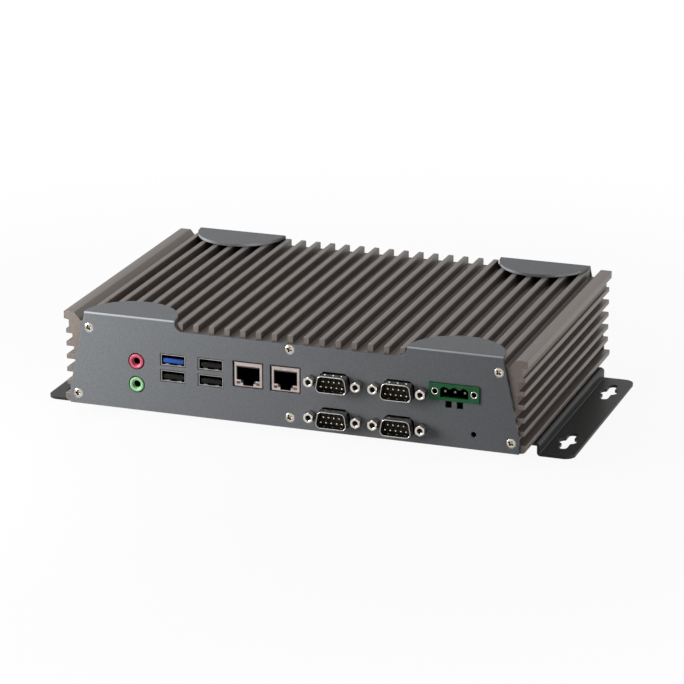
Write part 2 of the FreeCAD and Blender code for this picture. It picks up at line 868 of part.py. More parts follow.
def bracket(label, side):
    """Model a Z-shaped wall bracket with its flange under the foot and two keyhole slots."""
    body = new_body(label)
    thick = float(size["bracket_thickness"])
    bend = float(size["bracket_bend_radius"])
    wall = float(half_width + size["bracket_wall_gap"])
    inner, outer = float(half_width - size["bracket_lap"]), float(flange_reach)
    low = -float(stand)
    fold = max(bend - thick, 0.3)
    section = [
        (inner, 0, 0),
        (wall + thick, 0, bend),
        (wall + thick, low + thick, fold),
        (outer, low + thick, 0),
        (outer, low, 0),
        (wall, low, bend),
        (wall, -thick, fold),
        (inner, -thick, 0),
    ]
    half = size["bracket_length"] / 2
    add_prism(body, "y", -half, half, outline([(side * x, z, radius) for x, z, radius in section]))
    round_edges(
        body,
        size["bracket_corner_radius"],
        lambda box: box.XLength + box.YLength < 1e-6 and abs(abs(box.XMin) - outer) < 0.01,
    )
    across = side * (flange_reach - size["keyhole_inset"])
    for end in (-1, 1):
        along = end * size["keyhole_spacing"] / 2
        cut_prism(body, "z", -stand, -stand + size["bracket_thickness"],
                  slot(across, along, size["keyhole_slot_radius"], size["keyhole_slot_length"]))
        cut_prism(body, "z", -stand, -stand + size["bracket_thickness"],
                  circle(across, along, size["keyhole_radius"]))
    hole = size["bracket_screw_radius"] + size["fit_clearance"]
    holes = [octagon(x, y, hole) for x, y in bracket_screw_places() if float(x) * side > 0]
    cut_prism(body, "z", -size["bracket_thickness"], 0, *holes)
    return keep(body, z=stand)


# ---------------------------------------------------------------- screws

def countersunk_screw(label, length):
    """Model a countersunk screw along +Y, its head's flat at the origin."""
    body = new_body(label)
    head, shank = size["screw_head_radius"], size["screw_radius"]
    add_prism(body, "y", 0, length, octagon(0, 0, shank))
    cone = add_prism(body, "y", 0, head - shank, octagon(0, 0, head))
    cone.TaperAngle = -45
    doc.recompute()
    return body


def pan_screw(label, shank, head, height, length):
    """Model a flat headed screw along +Y, its seat at the origin and its head below it."""
    body = new_body(label)
    add_prism(body, "y", -height, 0, octagon(0, 0, head))
    add_prism(body, "y", 0, length, octagon(0, 0, shank))
    return body


def screws():
    """Place every screw of the housing, the brackets, the drive and the heat spreader."""
    plate_screw = countersunk_screw("plate_screw", size["screw_length"])
    fronts = [at(x, front_face, stand + z) for x, z in plate_screw_places()]
    keep_group("front_plate_screws", plate_screw, fronts)
    rears = [at(x, rear_face, stand + z, ABOUT_FACE) for x, z in plate_screw_places()]
    keep_group("rear_plate_screws", plate_screw, rears)
    base_screw = countersunk_screw("base_screw", size["base_screw_length"])
    keep_group("base_plate_screws", base_screw, [at(x, y, stand, UPWARDS) for x, y in base_screw_places()])
    keep_group("drive_screws", base_screw, [at(x, y, stand, UPWARDS) for x, y in drive_screw_places()])
    bracket_screw = pan_screw("bracket_screw", size["bracket_screw_radius"], size["bracket_screw_head_radius"],
                              size["bracket_screw_head_height"], size["bracket_screw_length"])
    under = stand - size["bracket_thickness"]
    keep_group("bracket_screws", bracket_screw, [at(x, y, under, UPWARDS) for x, y in bracket_screw_places()])
    flange = size["spreader_flange_thickness"]
    spreader_screw = pan_screw("spreader_screw", size["screw_radius"], size["screw_head_radius"],
                               size["inner_head_height"], flange + spreader_screw_bite() - 0.2)
    under = stand + ceiling - flange
    keep_group("spreader_screws", spreader_screw, [at(x, y, under, UPWARDS) for x, y in spreader_screw_places()])
    board_screw = pan_screw("board_screw", size["screw_radius"], size["screw_head_radius"],
                            size["inner_head_height"], size["board_thickness"] + 5)
    keep_group("board_screws", board_screw,
               [at(x, y, stand + board_top, DOWNWARDS) for x, y in standoff_places()])


# ---------------------------------------------------------------- serial ports

def com_pin_places():
    """Return the nine contacts of a serial port: four above and five below, as x and height."""
    upper = [(size["com_pin_pitch"] * (step - 1.5), size["com_row_pitch"] / 2) for step in range(4)]
    lower = [(size["com_pin_pitch"] * (step - 2), -size["com_row_pitch"] / 2) for step in range(5)]
    return upper + lower


def serial_ports():
    """Model the four serial ports, each a drawn shell round an insulator with nine pins."""
    flange_back = plate + size["com_flange_thickness"]
    wall = float(size["com_wall"])
    stud_hole = size["com_stud_radius"] + size["fit_clearance"]
    reach = size["com_screw_spacing"] / 2
    for index, (x, z) in enumerate(com_places(), start=1):
        shell = new_body(f"com_shell_{index}")
        add_prism(shell, "y", plate, flange_back,
                  rectangle(0, 0, size["com_flange_width"], size["com_flange_height"]))
        add_prism(shell, "y", -size["com_reach"], plate, outline(com_outline(0)))
        cut_prism(shell, "y", -size["com_reach"], flange_back, outline(com_outline(-wall), flat=0.8))
        cut_prism(shell, "y", plate, flange_back, octagon(-reach, 0, stud_hole), octagon(reach, 0, stud_hole))
        keep(shell, x=x, y=front_face, z=stand + z)

    insert = new_body("com_insert")
    add_prism(insert, "y", -size["com_insert_recess"], flange_back,
              outline(com_outline(-wall - float(size["screw_clearance"])), flat=0.9))
    add_prism(insert, "y", flange_back, port_board,
              rectangle(0, 0, size["com_width"] + wall * 2, size["com_shell_height"] + wall * 2))
    keep_group("com_inserts", insert, [at(x, front_face, stand + z) for x, z in com_places()])

    pin = new_body("com_pin")
    add_prism(pin, "y", -size["com_pin_reach"], -size["com_insert_recess"],
              hexagon(0, 0, size["com_pin_radius"] * 2, 30))
    keep_group("com_pins", pin, [at(x + a, front_face, stand + z + b)
                                 for x, z in com_places() for a, b in com_pin_places()])

    jackscrew = new_body("com_jackscrew")
    add_prism(jackscrew, "y", -size["com_screw_reach"], 0, hexagon(0, 0, size["com_screw_flat"], 30))
    add_prism(jackscrew, "y", 0, size["com_stud_length"], octagon(0, 0, size["com_stud_radius"]))
    cut_prism(jackscrew, "y", -size["com_screw_reach"], 0, circle(0, 0, size["com_screw_bore"]))
    keep_group("com_jackscrews", jackscrew, [at(x + side * reach, front_face, stand + z)
                                             for x, z in com_places() for side in (-1, 1)])


# ---------------------------------------------------------------- USB ports

def usb_ports():
    """Model the two USB stacks: a folded shell over two ports, each with an insulator and its tongue."""
    wide, high = size["usb_opening_width"], size["usb_opening_height"]
    edge = size["usb_wall"] * 2
    top = usb_port_heights()[1] + high / 2 + size["usb_wall"]
    back = size["usb_depth"]
    for label, x in zip(("usb_shell_left", "usb_shell_right"), usb_places()):
        shell = new_body(label)
        add_prism(shell, "y", plate + size["fit_clearance"], back,
                  rectangle(0, (top + board_top) / 2, wide + edge, top - board_top))
        add_prism(shell, "y", size["usb_recess"], plate + size["fit_clearance"],
                  *[rectangle(0, z, wide + edge, high + edge) for z in usb_port_heights()])
        cut_prism(shell, "y", size["usb_recess"], back - size["usb_wall"],
                  *[rectangle(0, z, wide, high) for z in usb_port_heights()])
        keep(shell, x=x, y=front_face, z=stand)

    gap = size["screw_clearance"]
    tongue = new_body("usb_tongue")
    add_prism(tongue, "y", size["usb_back_depth"], back - size["usb_wall"] - gap,
              rectangle(0, 0, wide - gap * 2, high - gap * 2))
    thick = size["usb_tongue_thickness"]
    add_prism(tongue, "y", size["usb_recess"] + 1.2, size["usb_back_depth"],
              rectangle(0, thick / 2, size["usb_tongue_width"], thick))
    ports = [at(x, front_face, stand + z) for x in usb_places() for z in reversed(usb_port_heights())]
    keep_group("usb_fast_tongue", tongue, ports[:1])
    keep_group("usb_tongues", tongue, ports[1:])

    contact = new_body("usb_contact")
    add_prism(contact, "y", size["usb_recess"] + 2.2, size["usb_back_depth"], rectangle(0, -0.15, 1, 0.3))
    places = [port.multiply(at(offset, 0, 0)) for port in ports for offset in (-3.5, -1, 1, 3.5)]
    keep_group("usb_contacts", contact, places)


# ---------------------------------------------------------------- network ports

def lan_opening():
    """Return the plug opening's outline, wide at the top and stepped in at the bottom for the latch."""
    wide, latch = float(size["lan_opening_width"]) / 2, float(size["lan_latch_width"]) / 2
    top = float(size["lan_height"] + size["lan_opening_top"])
    low = top - float(size["lan_opening_height"])
    step = low - float(size["lan_latch_depth"])
    corners = [(-wide, top), (-wide, low), (-latch, low), (-latch, step),
               (latch, step), (latch, low), (wide, low), (wide, top)]
    return outline([(x, z, 0) for x, z in corners])


def lan_lens_places():
    """Return the centres of the two indicator windows in the lower corners of a network port."""
    x = size["lan_shield_width"] / 2 - size["lan_wall"] - size["lan_lens_width"] / 2 - 0.5
    z = size["lan_height"] - size["lan_shield_height"] / 2 + size["lan_wall"] + size["lan_lens_height"] / 2 + 0.6
    return [(-x, z), (x, z)]


def network_ports():
    """Model the two network ports: a shield round an insulator, spring contacts and indicator lenses."""
    wide, wall = size["lan_shield_width"], size["lan_wall"]
    top = size["lan_height"] + size["lan_shield_height"] / 2
    front, back = size["usb_recess"], size["lan_depth"]
    lens = (size["lan_lens_width"], size["lan_lens_height"])
    gap = size["screw_clearance"]
    windows = [rectangle(x, z, *lens) for x, z in lan_lens_places()]
    behind = plate + size["fit_clearance"]
    for side, x in zip(("left", "right"), lan_places()):
        shield = new_body(f"lan_shield_{side}")
        add_prism(shield, "y", behind, back, rectangle(0, (top + board_top) / 2, wide, top - board_top))
        add_prism(shield, "y", front, behind, rectangle(0, size["lan_height"], wide, size["lan_shield_height"]))
        cut_prism(shield, "y", behind, back,
                  rectangle(0, (top - wall + board_top) / 2, wide - wall * 2, top - wall - board_top))
        cut_prism(shield, "y", front + wall, behind,
                  rectangle(0, size["lan_height"], wide - wall * 2, size["lan_shield_height"] - wall * 2))
        cut_prism(shield, "y", front, front + wall, lan_opening())
        cut_prism(shield, "y", front, front + wall, *windows)
        keep(shield, x=x, y=front_face, z=stand)

        insert = new_body(f"lan_insert_{side}")
        crown = top - wall - gap
        snug = wide - (wall + gap) * 2
        add_prism(insert, "y", behind, back, rectangle(0, (crown + board_top) / 2, snug, crown - board_top))
        add_prism(insert, "y", front + wall, behind,
                  rectangle(0, size["lan_height"], snug, size["lan_shield_height"] - (wall + gap) * 2))
        cut_prism(insert, "y", front + wall, size["lan_cavity_depth"], lan_opening())
        cut_prism(insert, "y", front + wall, back / 2, *windows)
        keep(insert, x=x, y=front_face, z=stand)

    contact = new_body("lan_contact")
    high = float(size["lan_height"] + size["lan_opening_top"])
    drop, thick = float(size["lan_contact_drop"]), float(size["lan_contact_thickness"])
    start, reach = float(behind) + 0.5, float(size["lan_contact_reach"])
    strip = [(start, high, 0), (reach, high - drop, 0), (reach, high - drop + thick, 0), (start + 1, high, 0)]
    half = size["lan_contact_thickness"] / 2
    add_prism(contact, "x", -half, half, outline(strip))
    keep_group("lan_contacts", contact, [at(x + size["lan_contact_pitch"] * (step - 3.5), front_face, stand)
                                         for x in lan_places() for step in range(8)])

    lamp = new_body("lan_lens")
    add_prism(lamp, "y", front + wall / 2, back / 2, rectangle(0, 0, lens[0] - gap * 2, lens[1] - gap * 2))
    for label, side in (("lan_speed_lenses", 0), ("lan_link_lenses", 1)):
        keep_group(label, lamp, [at(x + lan_lens_places()[side][0], front_face,
                                    stand + lan_lens_places()[side][1]) for x in lan_places()])


# ---------------------------------------------------------------- audio jacks and power header

def audio_jacks():
    """Model the two jacks: a coloured bushing in a black housing that stands on the audio board."""
    bore = size["audio_bore_radius"]
    seat = size["audio_bushing_length"]
    recess = size["audio_bushing_radius"] + size["screw_clearance"]
    housing = new_body("audio_housing")
    wide = size["audio_body_width"]
    add_prism(housing, "y", plate + size["fit_clearance"], port_board, rectangle(0, 0, wide, wide))
    cut_prism(housing, "y", plate + size["fit_clearance"], seat, rectangle(0, 0, recess * 2, recess * 2))
    cut_prism(housing, "y", seat, port_board, rectangle(0, 0, bore * 2, bore * 2))
    keep_group("audio_housings", housing,
               [at(size["audio_place"], front_face, stand + z) for z in audio_heights()])
    for label, z in zip(("mic_bushing", "line_bushing"), audio_heights()):
        bushing = new_body(label)
        edge = 0.5
        outer = size["audio_bushing_radius"]
        proud = -0.4
        add_turned(bushing, [(bore, proud, 0), (outer - edge, proud, 0), (outer, proud + edge, 0), (outer, seat, 0),
                             (bore, seat, 0)])
        keep(bushing, x=size["audio_place"], y=front_face, z=stand + z)


def power_header():
    """Model the pluggable header: a green body with a keyed cavity, three pins and two flange nuts."""
    front = -size["power_reach"]
    nuts = [side * size["power_nut_spacing"] / 2 for side in (-1, 1)]
    pins = [side * size["power_pin_pitch"] for side in (-1, 0, 1)]
    pin = size["power_pin_size"]
    gap = size["screw_clearance"]
    cavity_wide = size["power_pin_pitch"] * 3 - 0.4
    cavity_high = size["power_cavity_height"]
    floor = size["power_cavity_depth"]
    body = new_body("power_header")
    add_prism(body, "y", front, port_board, rectangle(0, 0, size["power_width"], size["power_body_height"]))
    cut_prism(body, "y", front, floor, rectangle(0, -0.5, cavity_wide, cavity_high - 1))
    cut_prism(body, "y", front, floor, *[circle(x, 0.8, size["power_pin_pitch"] / 2 - 0.5) for x in pins])
    flat = size["power_nut_flat"] + gap * 2
    cut_prism(body, "y", front, front + size["power_nut_length"], *[hexagon(x, 0, flat, 0) for x in nuts])
    cut_prism(body, "y", floor, port_board, *[rectangle(x, 0, pin + gap * 2, pin + gap * 2) for x in pins])
    keep(body, x=size["power_place"], y=front_face, z=stand + size["power_height"])

    place = (size["power_place"], front_face, stand + size["power_height"])
    post = new_body("power_pin")
    add_prism(post, "y", 1.2, port_board + size["board_thickness"] + 1, rectangle(0, 0, pin, pin))
    keep_group("power_header_pins", post, [at(place[0] + x, place[1], place[2]) for x in pins])

    nut = new_body("power_nut")
    length = size["power_nut_length"]
    add_prism(nut, "y", front + 0.1, front + length, hexagon(0, 0, size["power_nut_flat"], 0))
    cut_prism(nut, "y", front + 0.1, front + length, circle(0, 0, size["power_nut_bore"]))
    keep_group("power_header_nuts", nut, [at(place[0] + x, place[1], place[2]) for x in nuts])


# ---------------------------------------------------------------- boards and what they carry

def standoff_places():
    """Return where the mainboard's standoffs stand, as x and y."""
    across, along = board_half_width - 6, board_half_depth - 8
    front = along - size["mainboard_notch_depth"]
    return [(-across, -front), (across, -front), (across, along), (-across, along), (0, along), (0, -front)]


def boards():
    """Model the mainboard on its standoffs, the two upright port boards and the headers that join them."""
    thick = size["board_thickness"]
    wide, deep = float(board_half_width), float(board_half_depth)
    notch = deep - float(size["mainboard_notch_depth"])
    left = float(size["audio_place"] + size["audio_body_width"])
    right = float(size["com_first"] - size["com_flange_width"] / 2 - 1)
    corners = [(-wide, -notch), (left, -notch), (left, -deep), (right, -deep), (right, -notch),
               (wide, -notch), (wide, deep), (-wide, deep)]
    board = new_body("mainboard")
    base = size["mainboard_height"]
    add_prism(board, "z", base, base + thick, outline([(x, y, 0) for x, y in corners]))
    hole = size["screw_radius"] + size["fit_clearance"]
    cut_prism(board, "z", base, base + thick, *[octagon(x, y, hole) for x, y in standoff_places()])
    keep(board, z=stand)

    standoff = new_body("board_standoff")
    add_prism(standoff, "y", plate, base, hexagon(0, 0, size["standoff_radius"] * 2, 30))
    cut_prism(standoff, "y", base - 5.5, base, octagon(0, 0, size["screw_radius"] + size["screw_clearance"]))
    keep_group("board_standoffs", standoff, [at(x, y, stand, UPWARDS) for x, y in standoff_places()])

    first, last = com_places()[0], com_places()[-1]
    inner = first[0] - size["com_flange_width"] / 2
    outer = size["power_place"] + size["power_width"] / 2 + 1
    low = float(last[1] - size["com_flange_height"] / 2 + 0.5)
    step = float(size["power_height"] - size["power_body_height"])
    high = float(size["power_height"] + size["power_body_height"] / 2 + 1.2)
    knee = float(last[0] + size["com_flange_width"] / 2)
    serial = new_body("serial_board")
    corners = [(float(inner), low), (knee, low), (knee, step), (float(outer), step), (float(outer), high),
               (float(inner), high)]
    add_prism(serial, "y", port_board, port_board + thick, outline([(x, z, 0) for x, z in corners]))
    pin = size["power_pin_size"] + size["fit_clearance"]
    power_pins = [size["power_place"] + side * size["power_pin_pitch"] for side in (-1, 0, 1)]
    cut_prism(serial, "y", port_board, port_board + thick,
              *[rectangle(x, size["power_height"], pin, pin) for x in power_pins])
    keep(serial, y=front_face, z=stand)

    audio = new_body("audio_board")
    middle = (audio_heights()[0] + audio_heights()[1]) / 2
    tall = size["audio_drop"] + size["audio_body_width"] + 4
    add_prism(audio, "y", port_board, port_board + thick,
              rectangle(size["audio_place"], middle, size["audio_body_width"] + 4, tall))
    keep(audio, y=front_face, z=stand)

    link = new_body("board_link")
    notch_edge = size["mainboard_end_gap"] + size["mainboard_notch_depth"]
    add_prism(link, "y", port_board + thick, notch_edge + 5, rectangle(0, 3, 14, 6))
    keep_group("board_links", link, [at(x, front_face, stand + board_top)
                                     for x in (size["audio_place"], (inner + outer) / 2)])


def processor():
    """Model the processor, its thermal pad and the heat spreader that reaches the roof."""
    x = size["processor_place"]
    thick = size["processor_thickness"]
    chip = new_body("processor")
    add_prism(chip, "z", 0, thick / 2, rectangle(0, 0, size["processor_size"], size["processor_size"]))
    add_prism(chip, "z", thick / 2, thick, rectangle(0, 0, size["pad_size"], size["pad_size"]))
    keep(chip, x=x, z=stand + board_top)
    pad = new_body("thermal_pad")
    add_prism(pad, "z", thick, thick + size["pad_thickness"], rectangle(0, 0, size["pad_size"], size["pad_size"]))
    keep(pad, x=x, z=stand + board_top)
    bottom = board_top + thick + size["pad_thickness"]
    flange = size["spreader_flange_thickness"]
    spreader = new_body("heat_spreader")
    add_prism(spreader, "z", bottom, ceiling, rectangle(0, 0, size["spreader_size"], size["spreader_size"]))
    wide = size["spreader_flange_width"]
    add_prism(spreader, "z", ceiling - flange, ceiling, rectangle(0, 0, wide, wide))
    hole = size["screw_radius"] + size["fit_clearance"]
    cut_prism(spreader, "z", ceiling - flange, ceiling,
              *[octagon(a - x, b, hole) for a, b in spreader_screw_places()])
    keep(spreader, x=x, z=stand)


def drive_screw_places():
    """Return where the four drive screws stand, as x and y."""
    across, along = size["drive_width"] / 2 - 4, size["drive_length"] / 2 - 12
    centre = size["drive_place"]
    return [(centre + side * across, end * along) for side in (-1, 1) for end in (-1, 1)]


def memory():
    """Model the memory module lying in its socket, held by the socket's latches at the far edge."""
    length, wide = size["memory_length"], size["memory_width"]
    thick, lift = size["memory_thickness"], size["memory_lift"]
    gap = size["screw_clearance"]
    deep = size["memory_socket_depth"]
    place = size["memory_place"]
    socket = new_body("memory_socket")
    crown = lift + thick * 3
    add_prism(socket, "z", 0, crown, rectangle(0, 0, length + deep, deep))
    cut_prism(socket, "z", lift, lift + thick + gap * 2,
              rectangle(0, deep / 2, length + gap * 2, deep * 1.2))
    latch = add_prism(socket, "z", 0, lift, rectangle(length / 2, wide / 2, deep / 2, wide))
    mirrored(socket, [latch], "YZ_Plane")
    keep(socket, x=place, y=size["memory_along"], z=stand + board_top)

    module = new_body("memory_module")
    add_prism(module, "z", lift, lift + thick, rectangle(0, wide / 2, length, wide - gap * 2))
    chips = [rectangle(length * (step - 1.5) / 4, wide * 0.6, length / 6, wide * 0.4) for step in range(4)]
    add_prism(module, "z", lift + thick, lift + thick * 2, *chips)
    keep(module, x=place, y=size["memory_along"], z=stand + board_top + gap)


def storage():
    """Model the flat drive on the base plate and the socket that joins it to the mainboard."""
    wide, length = size["drive_width"], size["drive_length"]
    place = size["drive_place"]
    drive = new_body("drive")
    add_prism(drive, "z", plate, plate + size["drive_thickness"], rectangle(0, 0, wide, length))
    hole = size["screw_radius"] + size["screw_clearance"]
    cut_prism(drive, "z", plate, size["base_screw_length"] + 0.5,
              *[octagon(x - place, y, hole) for x, y in drive_screw_places()])
    keep(drive, x=place, z=stand)

    socket = new_body("drive_socket")
    deep = size["drive_socket_depth"]
    add_prism(socket, "z", plate + 1, size["mainboard_height"],
              rectangle(0, -(length + deep) / 2, wide * 0.6, deep))
    keep(socket, x=place, z=stand)


def board_parts():
    """Model the coin cell in its holder and the inductors beside the processor."""
    gap = size["screw_clearance"]
    radius, thick = size["coin_radius"], size["coin_thickness"]
    rim = size["coin_holder_rim"]
    x, y = half_width - size["coin_inset"], size["coin_along"]
    holder = new_body("battery_holder")
    floor = thick / 2
    outside = (radius + rim) * 2
    add_prism(holder, "z", 0, floor + thick * 0.8, rectangle(0, 0, outside, outside))
    cut_prism(holder, "z", floor, floor + thick * 0.8, rectangle(0, 0, (radius + gap) * 2, (radius + gap) * 2))
    keep(holder, x=x, y=y, z=stand + board_top)
    cell = new_body("coin_cell")
    add_prism(cell, "y", 0, thick, octagon(0, 0, radius))
    keep(cell, x=x, y=y, z=stand + board_top + floor, turn=UPWARDS)

    inductor = new_body("power_inductor")
    side = size["inductor_size"]
    add_prism(inductor, "z", 0, side / 2, rectangle(0, 0, side, side))
    beside = size["processor_place"] + size["spreader_flange_width"] / 2 + side
    keep_group("power_inductors", inductor,
               [at(beside, step * side * 1.4, stand + board_top) for step in (-1, 0, 1)])


# ---------------------------------------------------------------- rear plate

def display_places():
    """Return the x of the two display sockets, seen from behind."""
    return [size["display_first"] + step * size["display_pitch"] for step in (0, 1)]


def display_centre():
    """Return the height of the display sockets, which lie on the mainboard."""
    return board_top + size["display_height"] / 2


def display_outline(x, z, grow):
    """Return the corners of a display socket, with its two lower corners bevelled, grown all round."""
    wide, high = float(size["display_width"]) / 2 + grow, float(size["display_height"]) / 2 + grow
    bevel = float(size["display_height"]) / 3
    corners = [(-wide, high), (-wide, bevel - high), (bevel - wide, -high), (wide - bevel, -high),
               (wide, bevel - high), (wide, high)]
    return [(float(x) + a, float(z) + b, 0) for a, b in corners]


def lens_heights():
    """Return the heights of the two indicator lenses."""
    return [button_height + side * size["lens_pitch"] / 2 for side in (-1, 1)]


def rear_ports():
    """Model the two display sockets and the two indicator lenses of the rear plate."""
    wall, gap = float(size["usb_wall"]), float(size["screw_clearance"])
    front, back = -size["display_reach"], size["display_depth"]
    centre = float(display_centre())
    shell = new_body("display_shell")
    add_prism(shell, "y", front, back, outline(display_outline(0, centre, 0)))
    cut_prism(shell, "y", front, back - size["usb_wall"], outline(display_outline(0, centre, -wall)))
    tongue = new_body("display_tongue")
    add_prism(tongue, "y", back * 0.6, back - size["usb_wall"],
              outline(display_outline(0, centre, -wall - gap)))
    add_prism(tongue, "y", 1, back * 0.6, rectangle(0, display_centre(), size["display_width"] * 0.7, 1.2))
    places = [at(-x, rear_face, stand, ABOUT_FACE) for x in display_places()]
    keep_group("display_shells", shell, places)
    keep_group("display_tongues", tongue, places)

    lens = new_body("indicator_lens")
    add_prism(lens, "y", -0.5, plate, octagon(0, 0, size["lens_radius"]))
    add_prism(lens, "y", plate, plate + 3, octagon(0, 0, size["lens_radius"] + 0.8))
    keep_group("indicator_lenses", lens,
               [at(-size["lens_place"], rear_face, stand + z, ABOUT_FACE) for z in lens_heights()])


def power_button():
    """Model the push button: a square bezel, its retaining frame, the cap that slides in it and the switch."""
    barrel, bore = size["button_barrel"], size["button_bore"]
    proud, gap = size["button_bezel_height"], size["button_gap"]
    collar, travel, lip = size["button_collar"], size["button_travel"], size["button_lip"]
    frame = size["button_frame"]
    chamber = bore + collar * 2
    switch_face = lip + collar + travel + gap * 2
    back = switch_face + size["button_grip"]
    place = {"x": -size["button_place"], "y": rear_face, "z": stand + button_height}
    bezel = new_body("power_button_bezel")
    add_prism(bezel, "y", -proud, 0, rectangle(0, 0, size["button_bezel"], size["button_bezel"]))
    add_prism(bezel, "y", 0, back, rectangle(0, 0, barrel, barrel))
    cut_prism(bezel, "y", -proud, lip, rectangle(0, 0, bore, bore))
    cut_prism(bezel, "y", lip, back, rectangle(0, 0, chamber, chamber))
    keep(bezel, turn=ABOUT_FACE, **place)
    cap = new_body("power_button_cap")
    face, flange = bore - gap * 2, chamber - gap * 2
    add_prism(cap, "y", -proud - size["button_cap_reach"], lip + gap, rectangle(0, 0, face, face))
    add_prism(cap, "y", lip + gap, lip + gap + collar, rectangle(0, 0, flange, flange))
    keep(cap, turn=ABOUT_FACE, **place)
    nut = new_body("power_button_nut")
    opening = barrel + size["screw_clearance"] * 2
    add_prism(nut, "y", plate, plate * 2, rectangle(0, 0, frame, frame))
    cut_prism(nut, "y", plate, plate * 2, rectangle(0, 0, opening, opening))
    keep(nut, turn=ABOUT_FACE, **place)
    switch = new_body("power_button_switch")
    core = chamber - size["screw_clearance"] * 2
    add_prism(switch, "y", switch_face + gap, back, rectangle(0, 0, core, core))
    add_prism(switch, "y", back, size["button_body_length"], rectangle(0, 0, barrel, barrel))
    keep(switch, turn=ABOUT_FACE, **place)


# ---------------------------------------------------------------- build, check and write

def check_and_write():
    """Stop on any failed object, then write each part to its file."""
    for feature in doc.Objects:
        if {"Invalid", "Error"} & set(feature.State):
            raise ValueError(f"{feature.Label} failed: {feature.State}")
    os.makedirs("parts", exist_ok=True)
    for label, part in parts.items():
        if part.Shape.isNull() or not part.Shape.isValid():
            raise ValueError(f"{label} has no sound shape")
        part.Shape.exportStep(f"parts/{label}.step")
    print(f"{len(parts)} parts written")


heatsink_cover()
end_plate("front_plate", front_face, None, front_cutouts())
end_plate("rear_plate", rear_face, ABOUT_FACE, rear_cutouts())
base_plate()
bracket("bracket_left", -1)
bracket("bracket_right", 1)
screws()
serial_ports()
usb_ports()
network_ports()
audio_jacks()
power_header()
boards()
processor()
memory()
storage()
board_parts()
rear_ports()
power_button()
doc.recompute()
check_and_write()
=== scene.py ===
"""Looks of a fanless industrial computer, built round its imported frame.

All shapes are worked out in millimetres as whole numpy arrays in the frame's own axes: X to the right seen
from the connector side, Y to the rear, Z up. They are put into meshes in metres.
"""

import logging
import math
from collections.abc import Iterable
from dataclasses import dataclass, field
from enum import Enum
from functools import cache, reduce

import bmesh
import bpy
import numpy as np
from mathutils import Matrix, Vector


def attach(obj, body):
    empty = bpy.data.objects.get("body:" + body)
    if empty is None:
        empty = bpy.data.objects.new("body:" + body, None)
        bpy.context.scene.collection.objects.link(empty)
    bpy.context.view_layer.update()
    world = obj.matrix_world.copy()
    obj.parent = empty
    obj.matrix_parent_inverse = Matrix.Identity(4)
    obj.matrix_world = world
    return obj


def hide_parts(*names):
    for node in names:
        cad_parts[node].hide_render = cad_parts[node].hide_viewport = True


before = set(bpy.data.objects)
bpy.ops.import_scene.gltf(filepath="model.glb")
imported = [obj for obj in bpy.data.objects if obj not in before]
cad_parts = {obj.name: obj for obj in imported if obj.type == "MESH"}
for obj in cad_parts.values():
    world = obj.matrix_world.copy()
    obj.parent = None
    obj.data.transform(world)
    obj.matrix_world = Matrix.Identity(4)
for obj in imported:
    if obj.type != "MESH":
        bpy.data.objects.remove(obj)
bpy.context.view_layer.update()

LOG = logging.getLogger("fanless_computer")
Array = np.ndarray
Node = bpy.types.Node
Socket = bpy.types.NodeSocket
Pair = tuple[float, float]
Triple = tuple[float, float, float]

MM = 0.001  # a millimetre in metres
METRE = 1000.0  # a metre in millimetres
MERGE = 2e-6  # points closer than this become one, in metres
FRONT, REAR = -82.0, 82.0  # outer faces of the end plates
STAND = 6.9  # height of the housing over the wall
SHEET = 1.5  # thickness of the end plates and the base plate
ROUND = 48  # points round a jackscrew, a nut or a ring
WHITE = (1.0, 1.0, 1.0)


# ------------------------------------------------------------------ surfaces

@dataclass(frozen=True)
class Outline:
    """A closed outline in the XZ plane, running anticlockwise seen from the front.

    Attributes:
        points: The outline's points, one row of x and z each.
        normals: The outward unit normal at each point.
    """

    points: Array
    normals: Array

    def grown(self, offset: float) -> "Outline":
        """Return the outline moved out along its normals."""
        return Outline(self.points + self.normals * offset, self.normals)

    def moved(self, x: float, z: float) -> "Outline":
        """Return the outline moved to a new centre."""
        return Outline(self.points + np.array([x, z]), self.normals)


def rounded(corners: list[Pair], radii: list[float] | float, steps: int = 4) -> Outline:
    """Round each corner of a polygon with an arc.

    The arc starts where the incoming edge is r tan(turn / 2) short of the corner, and its centre lies r
    inside that edge. A point of it is the centre plus r times the normal, whose angle runs evenly through
    the turn.

    Args:
        corners: Corners as x and z, anticlockwise.
        radii: One radius for all corners, or one for each.
        steps: How many steps each arc has.

    Returns:
        The outline, with steps + 1 points for every corner.
    """
    spots = np.asarray(corners, float)
    radius = np.broadcast_to(np.asarray(radii, float), len(spots))
    into = spots - np.roll(spots, 1, axis=0)
    into /= np.linalg.norm(into, axis=1)[:, None]
    out = np.roll(into, -1, axis=0)
    turn = np.arctan2(into[:, 0] * out[:, 1] - into[:, 1] * out[:, 0], (into * out).sum(axis=1))
    signed = radius * np.sign(turn)
    facing = np.stack([into[:, 1], -into[:, 0]], axis=1)
    start = spots - into * np.abs(radius * np.tan(turn / 2))[:, None]
    centre = start - facing * signed[:, None]
    angle = np.arctan2(facing[:, 1], facing[:, 0])[:, None] + turn[:, None] * np.linspace(0, 1, steps + 1)
    normals = np.stack([np.cos(angle), np.sin(angle)], axis=2)
    points = centre[:, None, :] + normals * signed[:, None, None]
    return Outline(points.reshape(-1, 2), normals.reshape(-1, 2))


def slab(wide: float, low: float, high: float, radius: float, steps: int = 3) -> Outline:
    """Return a rectangle with rounded corners, from -wide to wide across and from low to high."""
    return rounded([(-wide, low), (wide, low), (wide, high), (-wide, high)], radius, steps)


